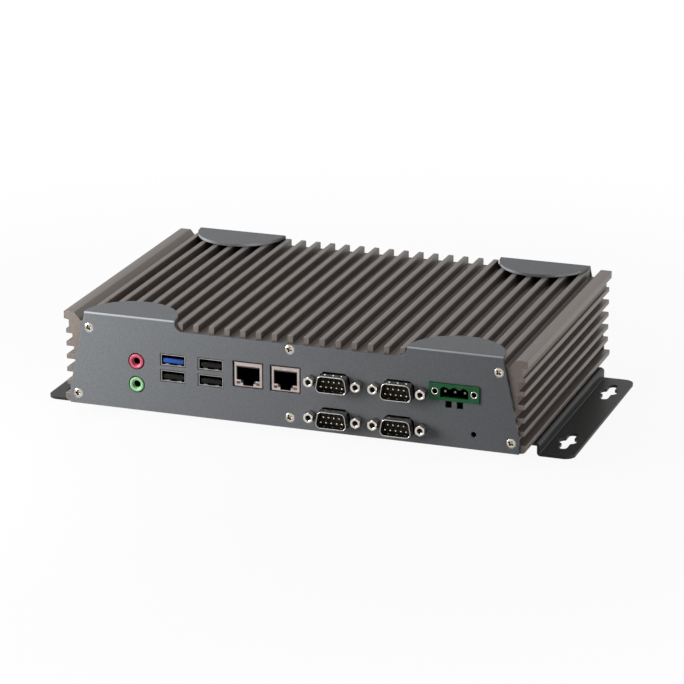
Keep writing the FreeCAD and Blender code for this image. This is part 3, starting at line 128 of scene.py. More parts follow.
def evenly(outline: Outline, count: int) -> Outline:
    """Spread an outline's points evenly along its length.

    Each new point is read off the old polygon at an even share of the whole length, and so is its normal,
    which is then made one long again.

    Args:
        outline: The outline to divide again.
        count: How many points it gets.

    Returns:
        The outline with evenly spaced points.
    """
    both = np.hstack([outline.points, outline.normals])
    closed = np.vstack([both, both[:1]])
    length = np.concatenate([[0], np.cumsum(np.linalg.norm(np.diff(closed[:, :2], axis=0), axis=1))])
    wanted = np.arange(count) * (length[-1] / count)
    fresh = np.stack([np.interp(wanted, length, column) for column in closed.T], axis=1)
    return Outline(fresh[:, :2], fresh[:, 2:] / np.linalg.norm(fresh[:, 2:], axis=1)[:, None])


def deepened(flat: Array, depth: Array) -> Array:
    """Return points of x and z with their depth y put in between."""
    return np.stack([flat[..., 0], np.broadcast_to(depth, flat.shape[:-1]), flat[..., 1]], axis=-1)


def band(outline: Outline, profile: list[Pair]) -> Array:
    """Carry a profile round an outline.

    The point at profile step s and outline step t is the outline's point t, moved by the profile's first
    number along the outline's normal there, at the depth y that is the profile's second number.

    Args:
        outline: The closed path.
        profile: Rows of how far out and how deep.

    Returns:
        A grid of points, profile steps by outline steps by three.
    """
    rows = np.asarray(profile, float)
    return deepened(outline.points + outline.normals * rows[:, :1, None], rows[:, 1:])


def swelled(outline: Outline, profile: list[Pair]) -> Array:
    """Carry a profile of size and depth round an outline: each of its points is multiplied by the size."""
    return band(Outline(outline.points * 0, outline.points), profile)


def compass(steps: int = ROUND) -> tuple[Array, Array]:
    """Return evenly spaced angles all the way round, and the cosine and sine of each."""
    angle = np.arange(steps) * (2 * math.pi / steps)
    return angle, np.stack([np.cos(angle), np.sin(angle)], axis=1)


def lathe(profile: list[Pair], steps: int = ROUND) -> Array:
    """Turn a profile of radius and y about the Y axis: x and z are the radius times cosine and sine."""
    way = compass(steps)[1]
    return band(Outline(way * 0, way), profile)


def hexagon(flats: float, turn: float, depth: Array, cone: float, slope: float) -> Array:
    """Work out the side of a hexagon along Y, with a turned chamfer at its front.

    The radius at an angle is half the width over flats divided by the cosine of the angle from the nearest
    flat, and never more than a cone's, which grows evenly with the depth.

    Args:
        flats: Width over two flats.
        turn: Angle by which the hexagon is turned.
        depth: The depth of each row.
        cone: Radius of the chamfer's cone at the first row.
        slope: How much the cone grows with the depth.

    Returns:
        A grid of points, rows by steps round by three.
    """
    angle, way = compass()
    off = (angle + turn) % (math.pi / 3) - math.pi / 6
    radius = np.minimum(flats / 2 / np.cos(off), (cone + (depth - depth[0]) * slope)[:, None])
    return deepened(way * radius[..., None], depth[:, None])


def thread(bore: float, groove: float, pitch: float, deep: Array) -> Array:
    """Work out the wall of a threaded bore along Y.

    The radius is the bore's plus a triangle wave of the depth over the pitch, less the angle over a turn.

    Args:
        bore: Radius of the bore.
        groove: Depth of the thread.
        pitch: Length of one turn.
        deep: The depth of each row.

    Returns:
        A grid of points, rows by steps round by three, from the bottom to the mouth.
    """
    angle, way = compass()
    wave = np.abs(((deep[:, None] / pitch - angle / (2 * math.pi)) % 1) * 2 - 1)
    return deepened(way * (bore - 0.02 + groove * wave)[..., None], deep[:, None])[::-1]


def arc(x: float, y: float, radius: float, start: float, stop: float, steps: int = 5,
        rise: float | None = None) -> list[Pair]:
    """Return points of an arc: the centre plus the radius times cosine, and the radius or rise times sine."""
    angle = np.radians(np.linspace(start, stop, steps + 1))
    return list(zip(x + radius * np.cos(angle), y + (radius if rise is None else rise) * np.sin(angle)))


def at(spots: list[Pair], face: float = FRONT) -> list[Triple]:
    """Return places on an end plate's face from their x and their height in the housing."""
    return [(x, face, STAND + z) for x, z in spots]


def link(name: str, data: bpy.types.ID) -> bpy.types.Object:
    """Make an object and link it to the scene.

    Args:
        name: The object's name.
        data: Its mesh, camera or light.

    Returns:
        The object, at the origin.
    """
    thing = bpy.data.objects.new(name, data)
    bpy.context.scene.collection.objects.link(thing)
    return thing


def shifted(faces: list[list[int]], step: int) -> list[list[int]]:
    """Return faces with their point numbers moved on by a step."""
    return [[number + step for number in face] for face in faces]


@dataclass
class Shape:
    """A mesh in the making: grids of points and flat caps, kept as arrays in millimetres.

    Attributes:
        points: Arrays of points, three numbers a row.
        faces: Faces as lists of point numbers.
    """

    points: list[Array] = field(default_factory=list)
    faces: list[list[int]] = field(default_factory=list)

    def count(self) -> int:
        """Return how many points the shape has so far."""
        return sum(len(rows) for rows in self.points)

    def grid(self, points: Array, around: bool = True, along: bool = False,
             kept: Array | None = None) -> "Shape":
        """Add a grid of points as quads between each pair of rows.

        Args:
            points: Rows by columns by three.
            around: Whether the last column joins the first.
            along: Whether the last row joins the first.
            kept: Which quads are kept, rows by columns, or all of them.

        Returns:
            The shape itself.
        """
        number = self.count() + np.arange(points[..., 0].size).reshape(points.shape[:2])
        number = np.hstack([number, number[:, :1]]) if around else number
        number = np.vstack([number, number[:1]]) if along else number
        quads = np.stack([number[:-1, :-1], number[:-1, 1:], number[1:, 1:], number[1:, :-1]], axis=2)
        self.points.append(points.reshape(-1, 3))
        self.faces += (quads.reshape(-1, 4) if kept is None else quads[kept]).tolist()
        return self

    def cap(self, ring: Array) -> "Shape":
        """Close a ring of points with one flat face.

        Args:
            ring: The ring's points.

        Returns:
            The shape itself.
        """
        self.faces.append(list(range(self.count(), self.count() + len(ring))))
        self.points.append(ring)
        return self

    def tube(self, points: Array) -> "Shape":
        """Add a grid that runs around, with its first and last row capped."""
        return self.grid(points).cap(points[0]).cap(points[-1])

    def joined(self, other: "Shape") -> "Shape":
        """Add another shape's points and faces to this one.

        Args:
            other: The other shape.

        Returns:
            The shape itself.
        """
        self.faces += shifted(other.faces, self.count())
        self.points += other.points
        return self

    def repeated(self, places: Array | list[Triple]) -> "Shape":
        """Copy the shape: every point is added to every place, and the faces are numbered on.

        Args:
            places: Where the copies go.

        Returns:
            A new shape of all the copies.
        """
        points = np.vstack(self.points)
        spots = np.asarray(places, float).reshape(-1, 1, 3)
        faces = [face for index in range(len(spots)) for face in shifted(self.faces, index * len(points))]
        return Shape([(points + spots).reshape(-1, 3)], faces)

    def turned(self, rows: list[Triple]) -> "Shape":
        """Return a copy whose points are multiplied by a turning matrix of three rows."""
        return Shape([points @ np.array(rows).T for points in self.points], list(self.faces))

    def mesh(self, name: str, smooth_angle: float = 35.0) -> bpy.types.Object:
        """Make the Blender object, with doubled points merged and faces turned outwards.

        Args:
            name: The piece's name.
            smooth_angle: Edges sharper than this many degrees stay sharp, and at 0 every face is flat.

        Returns:
            The object, at the origin.
        """
        data = bpy.data.meshes.new(name)
        data.from_pydata((np.vstack(self.points) * MM).tolist(), [], self.faces)
        work = bmesh.new()
        work.from_mesh(data)
        bmesh.ops.remove_doubles(work, verts=work.verts, dist=MERGE)
        bmesh.ops.recalc_face_normals(work, faces=work.faces)
        work.to_mesh(data)
        work.free()
        if smooth_angle:
            data.shade_smooth()
            data.set_sharp_from_angle(angle=math.radians(smooth_angle))
        return link(name, data)


# ------------------------------------------------------------------ finishes

class Body(Enum):
    """The bodies of the frame that a piece can ride on."""

    HOUSING = "housing"
    BUTTON = "button"


class Graph:
    """The node tree of a material or a world, with short ways to add and join nodes."""

    def __init__(self, owner: bpy.types.Material | bpy.types.World) -> None:
        """Turn on the owner's nodes."""
        owner.use_nodes = True
        self.tree = owner.node_tree

    def fill(self, node: Node, inputs: dict[int | str, object]) -> Node:
        """Fill a node's sockets.

        Args:
            node: The node.
            inputs: A value or another node's socket for each socket, by its number, or by its name with _ for
                a space. Colours have three parts, and are made opaque.

        Returns:
            The node.
        """
        for key, value in inputs.items():
            socket = node.inputs[key.replace("_", " ") if isinstance(key, str) else key]
            if isinstance(value, Socket):
                self.tree.links.new(value, socket)
            else:
                socket.default_value = (*value, 1.0) if socket.type == "RGBA" else value
        return node

    def add(self, kind: str, *inputs: object, **named: object) -> Node:
        """Add a node.

        Args:
            kind: The node's type, without its leading ShaderNode.
            inputs: What goes into its first sockets, in order.
            named: Its own settings in small letters, and what goes into other sockets with a capital.

        Returns:
            The node.
        """
        node = self.tree.nodes.new("ShaderNode" + kind)
        for key in [key for key in named if key.islower()]:
            setattr(node, key, named.pop(key))
        return self.fill(node, {**dict(enumerate(inputs)), **named})

    def ranged(self, value: Socket, low: float, high: float, start: float = 0.3, stop: float = 0.7) -> Socket:
        """Return a value from start to stop spread over low to high."""
        spread = {"From_Min": start, "From_Max": stop, "To_Min": low, "To_Max": high}
        return self.add("MapRange", Value=value, **spread).outputs["Result"]

    def mix(self, share: Socket | float, one: Socket | Triple, two: Socket | Triple,
            kind: str = "MIX") -> Socket:
        """Return a mix of two colours, each plain or linked, by the share of the second."""
        node = self.add("Mix", data_type="RGBA", blend_type=kind)
        return self.fill(node, {0: share, 6: one, 7: two}).outputs[2]

    def largest(self, values: Iterable[Socket]) -> Socket:
        """Return the largest of several values, taken two by two."""
        return reduce(lambda one, two: self.add("Math", one, two, operation="MAXIMUM").outputs[0], values)


class Skin(Graph):
    """The material of a surface, with the patterns that the finishes are made of."""

    def __init__(self, name: str) -> None:
        """Start a material with a Principled shader.

        Args:
            name: The material's name.
        """
        self.material = bpy.data.materials.new(name)
        super().__init__(self.material)
        self.shader = self.tree.nodes["Principled BSDF"]
        self.place = self.add("TexCoord")

    def noise(self, size_mm: float, detail: float = 2.0, stretch: Triple = (1, 1, 1),
              roughness: float = 0.5) -> Socket:
        """Add noise on the object's coordinates.

        Args:
            size_mm: About how long its features are.
            detail: How many finer layers it has.
            stretch: How much finer it is along each axis.
            roughness: How strong the finer layers are.

        Returns:
            The noise, mostly from 0.3 to 0.7.
        """
        scale = tuple(METRE / size_mm * share for share in stretch)
        place = self.add("Mapping", Vector=self.place.outputs["Object"], Scale=scale).outputs["Vector"]
        node = self.add("TexNoise", Vector=place, Scale=1.0, Detail=detail, Roughness=roughness)
        return node.outputs["Fac"]

    def softened(self, reach_mm: float) -> Socket:
        """Return the surface's normal, softened round edges."""
        return self.add("Bevel", samples=4, Radius=reach_mm * MM).outputs["Normal"]

    def wear_and_sheen_edges(self, reach_mm: float) -> Socket:
        """Find rubbed edges with painted sheen: patchily 1 less the dot product of the normal and its
        softened one.

        Args:
            reach_mm: How far the lightening reaches from an edge.

        Returns:
            How much a point is lightened, from 0 to 1.
        """
        plain = self.add("NewGeometry").outputs["Normal"]
        dot = self.add("VectorMath", self.softened(reach_mm), plain, operation="DOT_PRODUCT").outputs["Value"]
        patches = self.ranged(self.noise(reach_mm * 2.5, 3), 0.2, 1)
        return self.add("Math", self.ranged(dot, 1, 0, 0.8, 0.985), patches, operation="MULTIPLY").outputs[0]

    def folded(self) -> Socket:
        """Find folds for a painted highlight: 1 less the largest part of the normal, spread out.

        Returns:
            1 where the sheet is bent half way round, and 0 where it is flat: there the highlight is painted.
        """
        parts = self.add("VectorMath", self.place.outputs["Normal"], operation="ABSOLUTE").outputs["Vector"]
        return self.ranged(self.largest(self.add("SeparateXYZ", parts).outputs), 1, 0, 0.84, 0.98)

    def sheltered(self, reach_mm: float) -> Socket:
        """Return how sheltered a point is, for painted shade: 1 deep in a corner or recess, 0 in the open."""
        node = self.add("AmbientOcclusion", samples=6, Distance=reach_mm * MM)
        return self.ranged(node.outputs["AO"], 1, 0, 0.3, 0.85)

    def finished(self, height: Socket, depth_mm: float, strength: float, edge_mm: float = 0.0,
                 **inputs: object) -> bpy.types.Material:
        """Give the surface its relief and fill the shader's sockets.

        Args:
            height: The pattern of the relief.
            depth_mm: How deep it is.
            strength: How much of it shows.
            edge_mm: How far edges are softened, or 0 for sharp ones.
            inputs: What goes into the shader's sockets.

        Returns:
            The material.
        """
        relief = self.add("Bump", Height=height, Strength=strength, Distance=depth_mm * MM)
        if edge_mm:
            self.fill(relief, {"Normal": self.softened(edge_mm)})
        self.fill(self.shader, {**inputs, "Normal": relief.outputs["Normal"]})
        return self.material


def linear(red: float, green: float, blue: float) -> Triple:
    """Turn a screen colour into linear light.

    A part up to 0.04045 of full is divided by 12.92. Above that it is (part + 0.055) / 1.055 to the power
    of 2.4.

    Args:
        red: The red part, from 0 to 255.
        green: The green part.
        blue: The blue part.

    Returns:
        The linear colour, each part from 0 to 1.
    """
    part = np.array([red, green, blue], float) / 255
    light = np.where(part <= 0.04045, part / 12.92, ((part + 0.055) / 1.055) ** 2.4)
    return tuple(float(value) for value in light)


@dataclass(frozen=True)
class Coat:
    """What every finish has.

    Attributes:
        name: The material's name.
        colour: Linear colour.
        roughness: Middle roughness.
    """

    name: str
    colour: Triple
    roughness: float = 0.3

    def tint(self, factor: float) -> Triple:
        """Return the colour made lighter or darker by a factor, up to 1."""
        return tuple(min(1.0, part * factor) for part in self.colour)

    def tints(self, skin: Skin, share: Socket, dark: float, light: float) -> Socket:
        """Return a colour between a dark and a light tint, by the share of the light one."""
        return skin.mix(share, self.tint(dark), self.tint(light))

    def rough(self, skin: Skin, pattern: Socket, below: float, above: float) -> Socket:
        """Return the roughness, spread below and above its middle by a pattern."""
        return skin.ranged(pattern, self.roughness - below, self.roughness + above)


@dataclass(frozen=True)
class Anodised(Coat):
    """Satin anodised aluminium, drawn out along Y.

    Attributes:
        metal: How metallic it is.
        groove_shade_mm: How far the shade painted into the grooves reaches.
    """

    roughness: float = 0.42
    metal: float = 0.6
    groove_shade_mm: float = 4.0

    def build(self) -> bpy.types.Material:
        """Build the material: die lines along Y, a fine matt grain, slow changes of tone, and painted shade
        in the grooves.

        Returns:
            The material.
        """
        skin = Skin(self.name)
        lines = skin.noise(0.9, 3, (1.0, 0.006, 1.0), 0.6)
        grain = skin.noise(0.75, 3, (1.0, 0.8, 1.0), 0.7)
        slow = skin.noise(38, 3, (1.0, 0.35, 1.0))
        both = skin.fill(skin.add("Mix"), {0: 0.6, 2: lines, 3: grain}).outputs[0]
        tone = self.tints(skin, skin.ranged(both, 0, 1, 0.38, 0.62), 0.84, 1.16)
        drift = skin.mix(slow, (0.92, 0.92, 0.92), (1.06, 1.05, 1.05))
        tone = skin.mix(1.0, tone, drift, "MULTIPLY")
        height = skin.add("Math", lines, 0.6, grain, operation="MULTIPLY_ADD").outputs[0]
        # Painted shade: where the grooves are sheltered, the colour darkens towards 0.3 of itself.
        return skin.finished(
            height, 0.02, 0.6, Metallic=self.metal, Roughness=self.rough(skin, grain, 0.06, 0.08),
            Base_Color=skin.mix(skin.sheltered(self.groove_shade_mm), tone, self.tint(0.3)))


@dataclass(frozen=True)
class TexturedPaint(Coat):
    """Fine textured powder paint on sheet metal.

    Attributes:
        grain_mm: Size of the paint's dimples.
        depth_mm: Depth of the dimples.
        gloss: Specular level.
        coat: Weight of the glossy top coat.
        fold: How much lighter the highlight painted along the folds is.
        wear_and_sheen: How much lighter its edges are, from rubbed paint and a painted sheen.
    """

    roughness: float = 0.5
    grain_mm: float = 0.7
    depth_mm: float = 0.03
    gloss: float = 0.3
    coat: float = 0.3
    fold: float = 3.1
    wear_and_sheen: float = 2.1

    def build(self) -> bpy.types.Material:
        """Build the material: orange-peel dimples, small flecks, rubbed edges with painted sheen, and painted
        fold highlights.

        Returns:
            The material.
        """
        skin = Skin(self.name)
        peel = skin.noise(self.grain_mm, 3, roughness=0.6)
        fleck = skin.noise(self.grain_mm * 1.7, 4, roughness=0.7)
        tone = self.tints(skin, skin.ranged(fleck, 0, 1), 0.86, 1.14)
        # Edges: lighter, partly rubbed paint and partly a painted sheen.
        tone = skin.mix(skin.wear_and_sheen_edges(0.35), tone, self.tint(self.wear_and_sheen))
        # Folds: a painted highlight, the paint lighter by the factor fold where the sheet bends.
        return skin.finished(
            peel, self.depth_mm, 0.7, edge_mm=0.4, Roughness=self.rough(skin, peel, 0.06, 0.1),
            Base_Color=skin.mix(skin.folded(), tone, self.tint(self.fold)),
            Specular_IOR_Level=self.gloss, Coat_Weight=self.coat, Coat_Roughness=0.22)


@dataclass(frozen=True)
class Plated(Coat):
    """Plated or plain bright metal.

    Attributes:
        grain_mm: Size of the scuffs.
        edge_mm: How far edges are softened.
        recess_shade_mm: How far shade painted into its corners and recesses reaches.
        recess_shade: How light the painted shade in the corners stays, from 0 to 1.
    """

    roughness: float = 0.25
    grain_mm: float = 2.0
    edge_mm: float = 0.0
    recess_shade_mm: float = 0.0
    recess_shade: float = 0.08

    def build(self) -> bpy.types.Material:
        """Build the material: full metal with scuffed roughness, a slight stain, and painted shade in its
        corners.

        Returns:
            The material.
        """
        skin = Skin(self.name)
        scuff = skin.noise(self.grain_mm, 4, roughness=0.65)
        tone = self.tints(skin, skin.ranged(skin.noise(self.grain_mm * 4), 0, 1), 0.86, 1)
        # Painted shade: sheltered corners and recesses darken towards a small share of the colour.
        if self.recess_shade_mm:
            tone = skin.mix(skin.sheltered(self.recess_shade_mm), tone, self.tint(self.recess_shade))
        return skin.finished(scuff, 0.008, 0.4, self.edge_mm, Base_Color=tone, Metallic=1.0,
                             Roughness=self.rough(skin, scuff, 0.07, 0.12))


@dataclass(frozen=True)
class Moulded(Coat):
    """Moulded plastic.

    Attributes:
        clear: How much light passes, for lenses.
        edge_mm: How far edges are softened.
        wear_and_sheen: How much lighter its edges are, from rubbing and a painted sheen, or 0 for none.
        gloss: Specular level.
    """

    roughness: float = 0.4
    clear: float = 0.0
    edge_mm: float = 0.15
    wear_and_sheen: float = 0.0
    gloss: float = 0.5

    def build(self) -> bpy.types.Material:
        """Build the material: a faint flow pattern, a fine skin, softened edges and, where set, rubbed edges
        with painted sheen.

        Returns:
            The material.
        """
        skin = Skin(self.name)
        grain = skin.noise(0.25)
        tone = self.tints(skin, skin.ranged(skin.noise(6), 0, 1), 0.9, 1.08)
        # Edges: lighter, partly rubbed and partly a painted sheen.
        if self.wear_and_sheen:
            tone = skin.mix(skin.wear_and_sheen_edges(0.6), tone, self.tint(self.wear_and_sheen))
        return skin.finished(grain, 0.006, 0.4, self.edge_mm, Base_Color=tone,
                             Roughness=self.rough(skin, grain, 0.05, 0.05),
                             Transmission_Weight=self.clear, Specular_IOR_Level=self.gloss)


@dataclass(frozen=True)
class Laminate(Coat):
    """Circuit board laminate with copper runs under the lacquer."""

    def build(self) -> bpy.types.Material:
        """Build the material: lighter runs, laid out as the joints between bricks, under a glossy lacquer.

        Returns:
            The material.
        """
        skin = Skin(self.name)
        runs = skin.add("TexBrick", Vector=skin.place.outputs["Object"], Scale=160.0, Mortar_Size=0.08)
        tone = self.tints(skin, skin.ranged(runs.outputs["Fac"], 0, 1, 0, 1), 1, 1.9)
        return skin.finished(skin.noise(0.4), 0.01, 0.4, Base_Color=tone, Roughness=self.roughness,
                             Coat_Weight=0.4)


class Finish(Enum):
    """Every finish of the object."""

    # The anodising's grooves get painted shade.
    ANODISED = Anodised("warm_grey_anodising", linear(106, 98, 93))
    # Both paints: a painted highlight along their folds, and rubbed edges with a painted sheen.
    GREY_PAINT = TexturedPaint("blue_grey_paint", linear(92, 94, 97), 0.55, 0.7, 0.03, 0.15, 0.1)
    BLACK_PAINT = TexturedPaint("black_paint", linear(20, 22, 20), 0.5, 0.5, 0.02, 0.2, 0.1)
    ZINC = Plated("zinc_plate", linear(176, 178, 180), 0.38, 5.0, 0.2)
    # Nickel, jackscrew nickel and the tin shell: painted shade in their corners, reaching the fourth number
    # in mm.
    NICKEL = Plated("nickel", linear(206, 197, 182), 0.16, 1.2, 0.0, 1.4)
    JACK_NICKEL = Plated("jackscrew_nickel", linear(214, 208, 200), 0.14, 1.2, 0.0, 2.4)
    SHELL = Plated("tin_shell", linear(188, 184, 180), 0.1, 1.5, 0.0, 1.6, 0.2)
    CAGE = Plated("steel_cage", linear(176, 174, 172), 0.2, 1.5, 0.08)
    SHIELD = Plated("rosy_shield", linear(186, 172, 168), 0.3, 1.5)
    PIN = Plated("pin_tin", linear(128, 126, 120), 0.2, 0.8)
    GOLD = Plated("gilt", linear(182, 174, 150), 0.24, 0.8)
    BRASS = Plated("brass", linear(190, 160, 96), 0.32, 1.5)
    CAP_METAL = Plated("satin_cap", linear(168, 168, 170), 0.36, 2.0)
    DARK_METAL = Plated("dark_metal", linear(120, 120, 122), 0.35, 4.0)
    BLACK_PLASTIC = Moulded("black_plastic", linear(17, 16, 16), 0.42)
    INSERT_PLASTIC = Moulded("dark_insulator", linear(15, 13, 11), 0.45, 0.0, 0.0, gloss=0.25)
    TONGUE_PLASTIC = Moulded("tongue_plastic", linear(13, 12, 11), 0.5, 0.0, 0.0, gloss=0.12)
    BLUE_PLASTIC = Moulded("blue_plastic", linear(22, 64, 138), 0.38, 0.0, 0.0, gloss=0.25)
    # Green plastic: edges lighter by 2.2, from rubbing and a painted sheen.
    GREEN_PLASTIC = Moulded("green_plastic", linear(18, 78, 42), 0.4, 0.0, 0.15, 2.2, gloss=0.25)
    PINK_PLASTIC = Moulded("pink_plastic", linear(174, 64, 88), 0.32, 0.0, 0.0)
    LIME_PLASTIC = Moulded("lime_plastic", linear(122, 172, 122), 0.32, 0.0, 0.0)
    AMBER_LENS = Moulded("amber_lens", linear(120, 88, 56), 0.2, 0.25)
    RED_LENS = Moulded("dim_red_lens", linear(76, 44, 46), 0.2, 0.25)
    CLEAR_LENS = Moulded("clear_lens", linear(210, 214, 210), 0.12, 0.6)
    RUBBER = Moulded("grey_rubber", linear(150, 150, 158), 0.7)
    FERRITE = Moulded("ferrite", linear(58, 56, 56), 0.6)
    BOARD = Laminate("green_laminate", linear(22, 78, 44))


@cache
def material_of(finish: Finish) -> bpy.types.Material:
    """Return a finish's material, built the first time it is asked for."""
    return finish.value.build()


def coat(piece: bpy.types.Object, finish: Finish) -> None:
    """Give a piece one finish in place of all its materials."""
    piece.data.materials.clear()
    piece.data.materials.append(material_of(finish))


def finish_nodes(finish: Finish, *nodes: str) -> None:
    """Give CAD nodes their finish."""
    for node in nodes:
        coat(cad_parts[node], finish)


def finish_piece(piece: bpy.types.Object, finish: Finish, slot: str, *replaced: str,
                 body: Body = Body.HOUSING) -> None:
    """Dress a new piece and tell the frame where it belongs.

    Args:
        piece: The piece.
        finish: Its finish.
        slot: A material slot's name; not used.
        replaced: The CAD nodes that it stands for.
        body: The body that it rides on.
    """
    coat(piece, finish)
    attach(piece, body.value)
    if replaced:
        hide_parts(*replaced)
    LOG.info("%s: %d faces, %s", piece.name, len(piece.data.polygons), finish.value.name)


# ------------------------------------------------------------------ the finned extrusion

@dataclass
class FinnedCover:
    """The extrusion that makes the roof and both sides, with rounded fins."""

    half_width: float = 124.0
    height: float = 48.6
    fin_pitch: float = 8.5
    fin_count: int = 27
    fin_width: float = 3.0
    groove: float = 4.25
    roof: float = 3.55
    rail_width: float = 6.0
    rail_height: float = 4.0
    rail_slant: float = 3.6
    side_fin_count: int = 5
    side_fin_width: float = 2.6
    side_setback: float = 1.1
    lowest_fin: float = 10.35
    top_drop: float = 10.45
    side_groove: float = 6.0
    flare: float = 3.3
    wall: float = 3.5
    foot: float = 4.3
    foot_radius: float = 2.5
    block_width: float = 14.0
    block_height: float = 9.0
    rebate: float = 116.45
    rib_half: float = 4.4
    rib_depth: float = 2.6
    corner_rib: float = 105.2
    edge: float = 0.45
    corner_radius: float = 0.4
    rebate_radius: float = 0.1
    end_bevel: float = 0.2

    def side_wall(self, height: float) -> float:
        """Work out how wide the side grooves' bottom is: it flares with the cube of the height.

        Args:
            height: The height over the housing's underside.

        Returns:
            The half width there.
        """
        floor = self.height - self.groove
        share = (height - self.foot) / (floor - self.foot)
        return self.half_width - self.side_groove + self.flare * share ** 3

    def right_half(self) -> list[Pair]:
        """Lay out the section's right half.

        Returns:
            Its corners, from the last roof fin round the right side to the middle of the ceiling.
        """
        top, wide, edge = self.height, self.half_width, self.edge
        floor = top - self.groove
        rail, rail_foot = wide - self.rail_width, top - self.rail_height
        half, tip = self.side_fin_width / 2, wide - self.side_setback
        pitch = (top - self.top_drop - self.lowest_fin) / (self.side_fin_count - 1)
        wall = self.side_wall(floor)
        corners = [(rail - self.rail_slant, floor), (rail, top), (wide, top), (wide, rail_foot),
                   (wall, rail_foot - edge)]
        for step in reversed(range(self.side_fin_count)):
            height = self.lowest_fin + step * pitch
            corners += [(wall, height + half), (tip, height + half), (tip, height - half)]
            wall = self.side_wall(height - pitch / 2)
            corners.append((wall, height - half))
        inner, block = wide - self.side_groove - self.wall, wide - self.block_width
        under = floor - self.roof
        rib_end = under - self.rib_depth
        return corners + [
            (wall, self.foot), (wide, self.foot), (wide, 0), (self.rebate, 0), (self.rebate, SHEET),
            (block, SHEET), (block, self.block_height), (inner, self.block_height + inner - block),
            (inner, rib_end), (self.corner_rib + edge, rib_end), (self.corner_rib - edge, under),
            (self.rib_half, under), (self.rib_half - edge, rib_end),
        ]

    def section(self) -> Outline:
        """Lay out the whole section: the roof's fins in order, the right half and its mirror image.

        Fin n is centred at (n - (count - 1) / 2) times the pitch, and has four corners. The whole is turned
        round at the end, to run anticlockwise.

        Returns:
            The section's outline.
        """
        place = (np.arange(self.fin_count) - (self.fin_count - 1) / 2) * self.fin_pitch
        across = np.array([-1, -1, 1, 1]) * self.fin_width / 2
        floor = self.height - self.groove
        up = np.array([floor, self.height, self.height, floor])
        fins = np.stack([place[:, None] + across, np.broadcast_to(up, (self.fin_count, 4))], axis=2)
        right = np.array(self.right_half())
        left = right[::-1] * np.array([-1, 1])
        corners = np.vstack([fins.reshape(-1, 2), right, left])[::-1]
        outwards, height = np.abs(corners[:, 0]), corners[:, 1]
        feet = np.isclose(outwards, self.half_width) & (height == 0)
        sharp = (outwards < self.rebate + 0.1) & (height < self.foot - 1)
        radii = np.where(feet, self.foot_radius, np.where(sharp, self.rebate_radius, self.corner_radius))
        return rounded(corners.tolist(), radii.tolist(), 3).moved(0, STAND)

    def build(self) -> None:
        """Build and dress the cover: the section carried along Y, with a fine bevel at both ends."""
        near, far, cut = FRONT + SHEET, REAR - SHEET, self.end_bevel
        rows = [(-cut, near), (0, near + cut), (0, 0), (0, far - cut), (-cut, far)]
        piece = Shape().tube(band(self.section(), rows)).mesh("finned_cover", 40)
        finish_piece(piece, Finish.ANODISED, "anodised_aluminium", "heatsink_cover")


# ------------------------------------------------------------------ screws

@dataclass
class CrossScrew:
    """A screw head with a cross recess, and its shank.

    Attributes:
        head: Radius of the head.
        shank: Radius of the shank.
        length: Length below the face.
        sink: Whether the head is countersunk, or else a pan.
        crown: How far the middle of the face stands above its rim.
        turn: Angle of the recess, in degrees.
        recess: How far the recess's arms reach.
        arm: Half width of an arm, near the middle.
        taper: How much narrower an arm gets on its way out.
        pit: Radius of the recess's middle.
        depth: Depth of the recess.
        sit: How far the face lies below the plate's.
        lip: How far the rim is rounded off.
        pan: Height of a pan head.
        tip: Bevel of the shank's end.
        cells: How many steps the face's grid has.
    """

    head: float = 2.38
    shank: float = 1.5
    length: float = 8.0
    sink: bool = True
    crown: float = 0.42
    turn: float = 20.0
    recess: float = 1.5
    arm: float = 0.62
    taper: float = 0.12
    pit: float = 0.85
    depth: float = 1.25
    sit: float = 0.2
    lip: float = 0.12
    pan: float = 2.2
    tip: float = 0.3
    cells: int = 36

    def face(self) -> Array:
        """Press a square grid into a disc, with the recess as its depth.

        For u and v from -1 to 1, x is u times the root of 1 - v^2 / 2 and z the same the other way round.
        With a and b the longer and shorter way from the middle along the recess's own axes, the depth is two
        smooth steps multiplied: one falls as b nears the arm's half width, the other as a nears its end.

        Returns:
            The face as a grid of points.
        """
        side = np.linspace(-1, 1, self.cells + 1)
        u, v = np.meshgrid(side, side)
        x = u * np.sqrt(1 - v ** 2 / 2) * self.head
        z = v * np.sqrt(1 - u ** 2 / 2) * self.head
        angle, far = math.radians(self.turn), np.hypot(x, z)
        along = np.abs(x * math.cos(angle) + z * math.sin(angle))
        across = np.abs(z * math.cos(angle) - x * math.sin(angle))
        longer, shorter = np.maximum(along, across), np.minimum(along, across)
        arm = np.clip((self.arm - self.taper * longer - shorter) / 0.14, 0, 1)
        end = np.clip((self.recess - longer) / 0.35, 0, 1)
        cut = np.maximum(arm * end, np.clip((self.pit - far) / 0.5, 0, 1))
        cut = cut * cut * (3 - 2 * cut)
        out = far / self.head
        rim = np.clip((out - 0.9) / 0.1, 0, 1)
        y = self.sit - self.crown * (1 - out ** 2) + self.depth * cut + self.lip * rim ** 2
        return np.stack([x, y, z], axis=2)

    def shape(self) -> Shape:
        """Build the screw along +Y: its face, and the head's side and the shank carried down from its rim.

        Returns:
            The whole screw.
        """
        face = self.face()
        ring = np.vstack([face[0, :-1], face[:-1, -1], face[-1, :0:-1], face[:0:-1, 0]])
        way = ring[:, [0, 2]] / np.linalg.norm(ring[:, [0, 2]], axis=1)[:, None]
        top = float(ring[0, 1])
        if self.sink:
            under = [(self.head, top + 0.1), (self.shank, self.head - self.shank + 0.1)]
        else:
            under = [(self.head, self.pan), (self.shank, self.pan)]
        end = [(self.shank, self.length), (self.shank - self.tip, self.length + self.tip)]
        side = band(Outline(way * 0, way), [(self.head, top), *under, *end])
        return Shape().grid(face, around=False).grid(side).cap(side[-1])


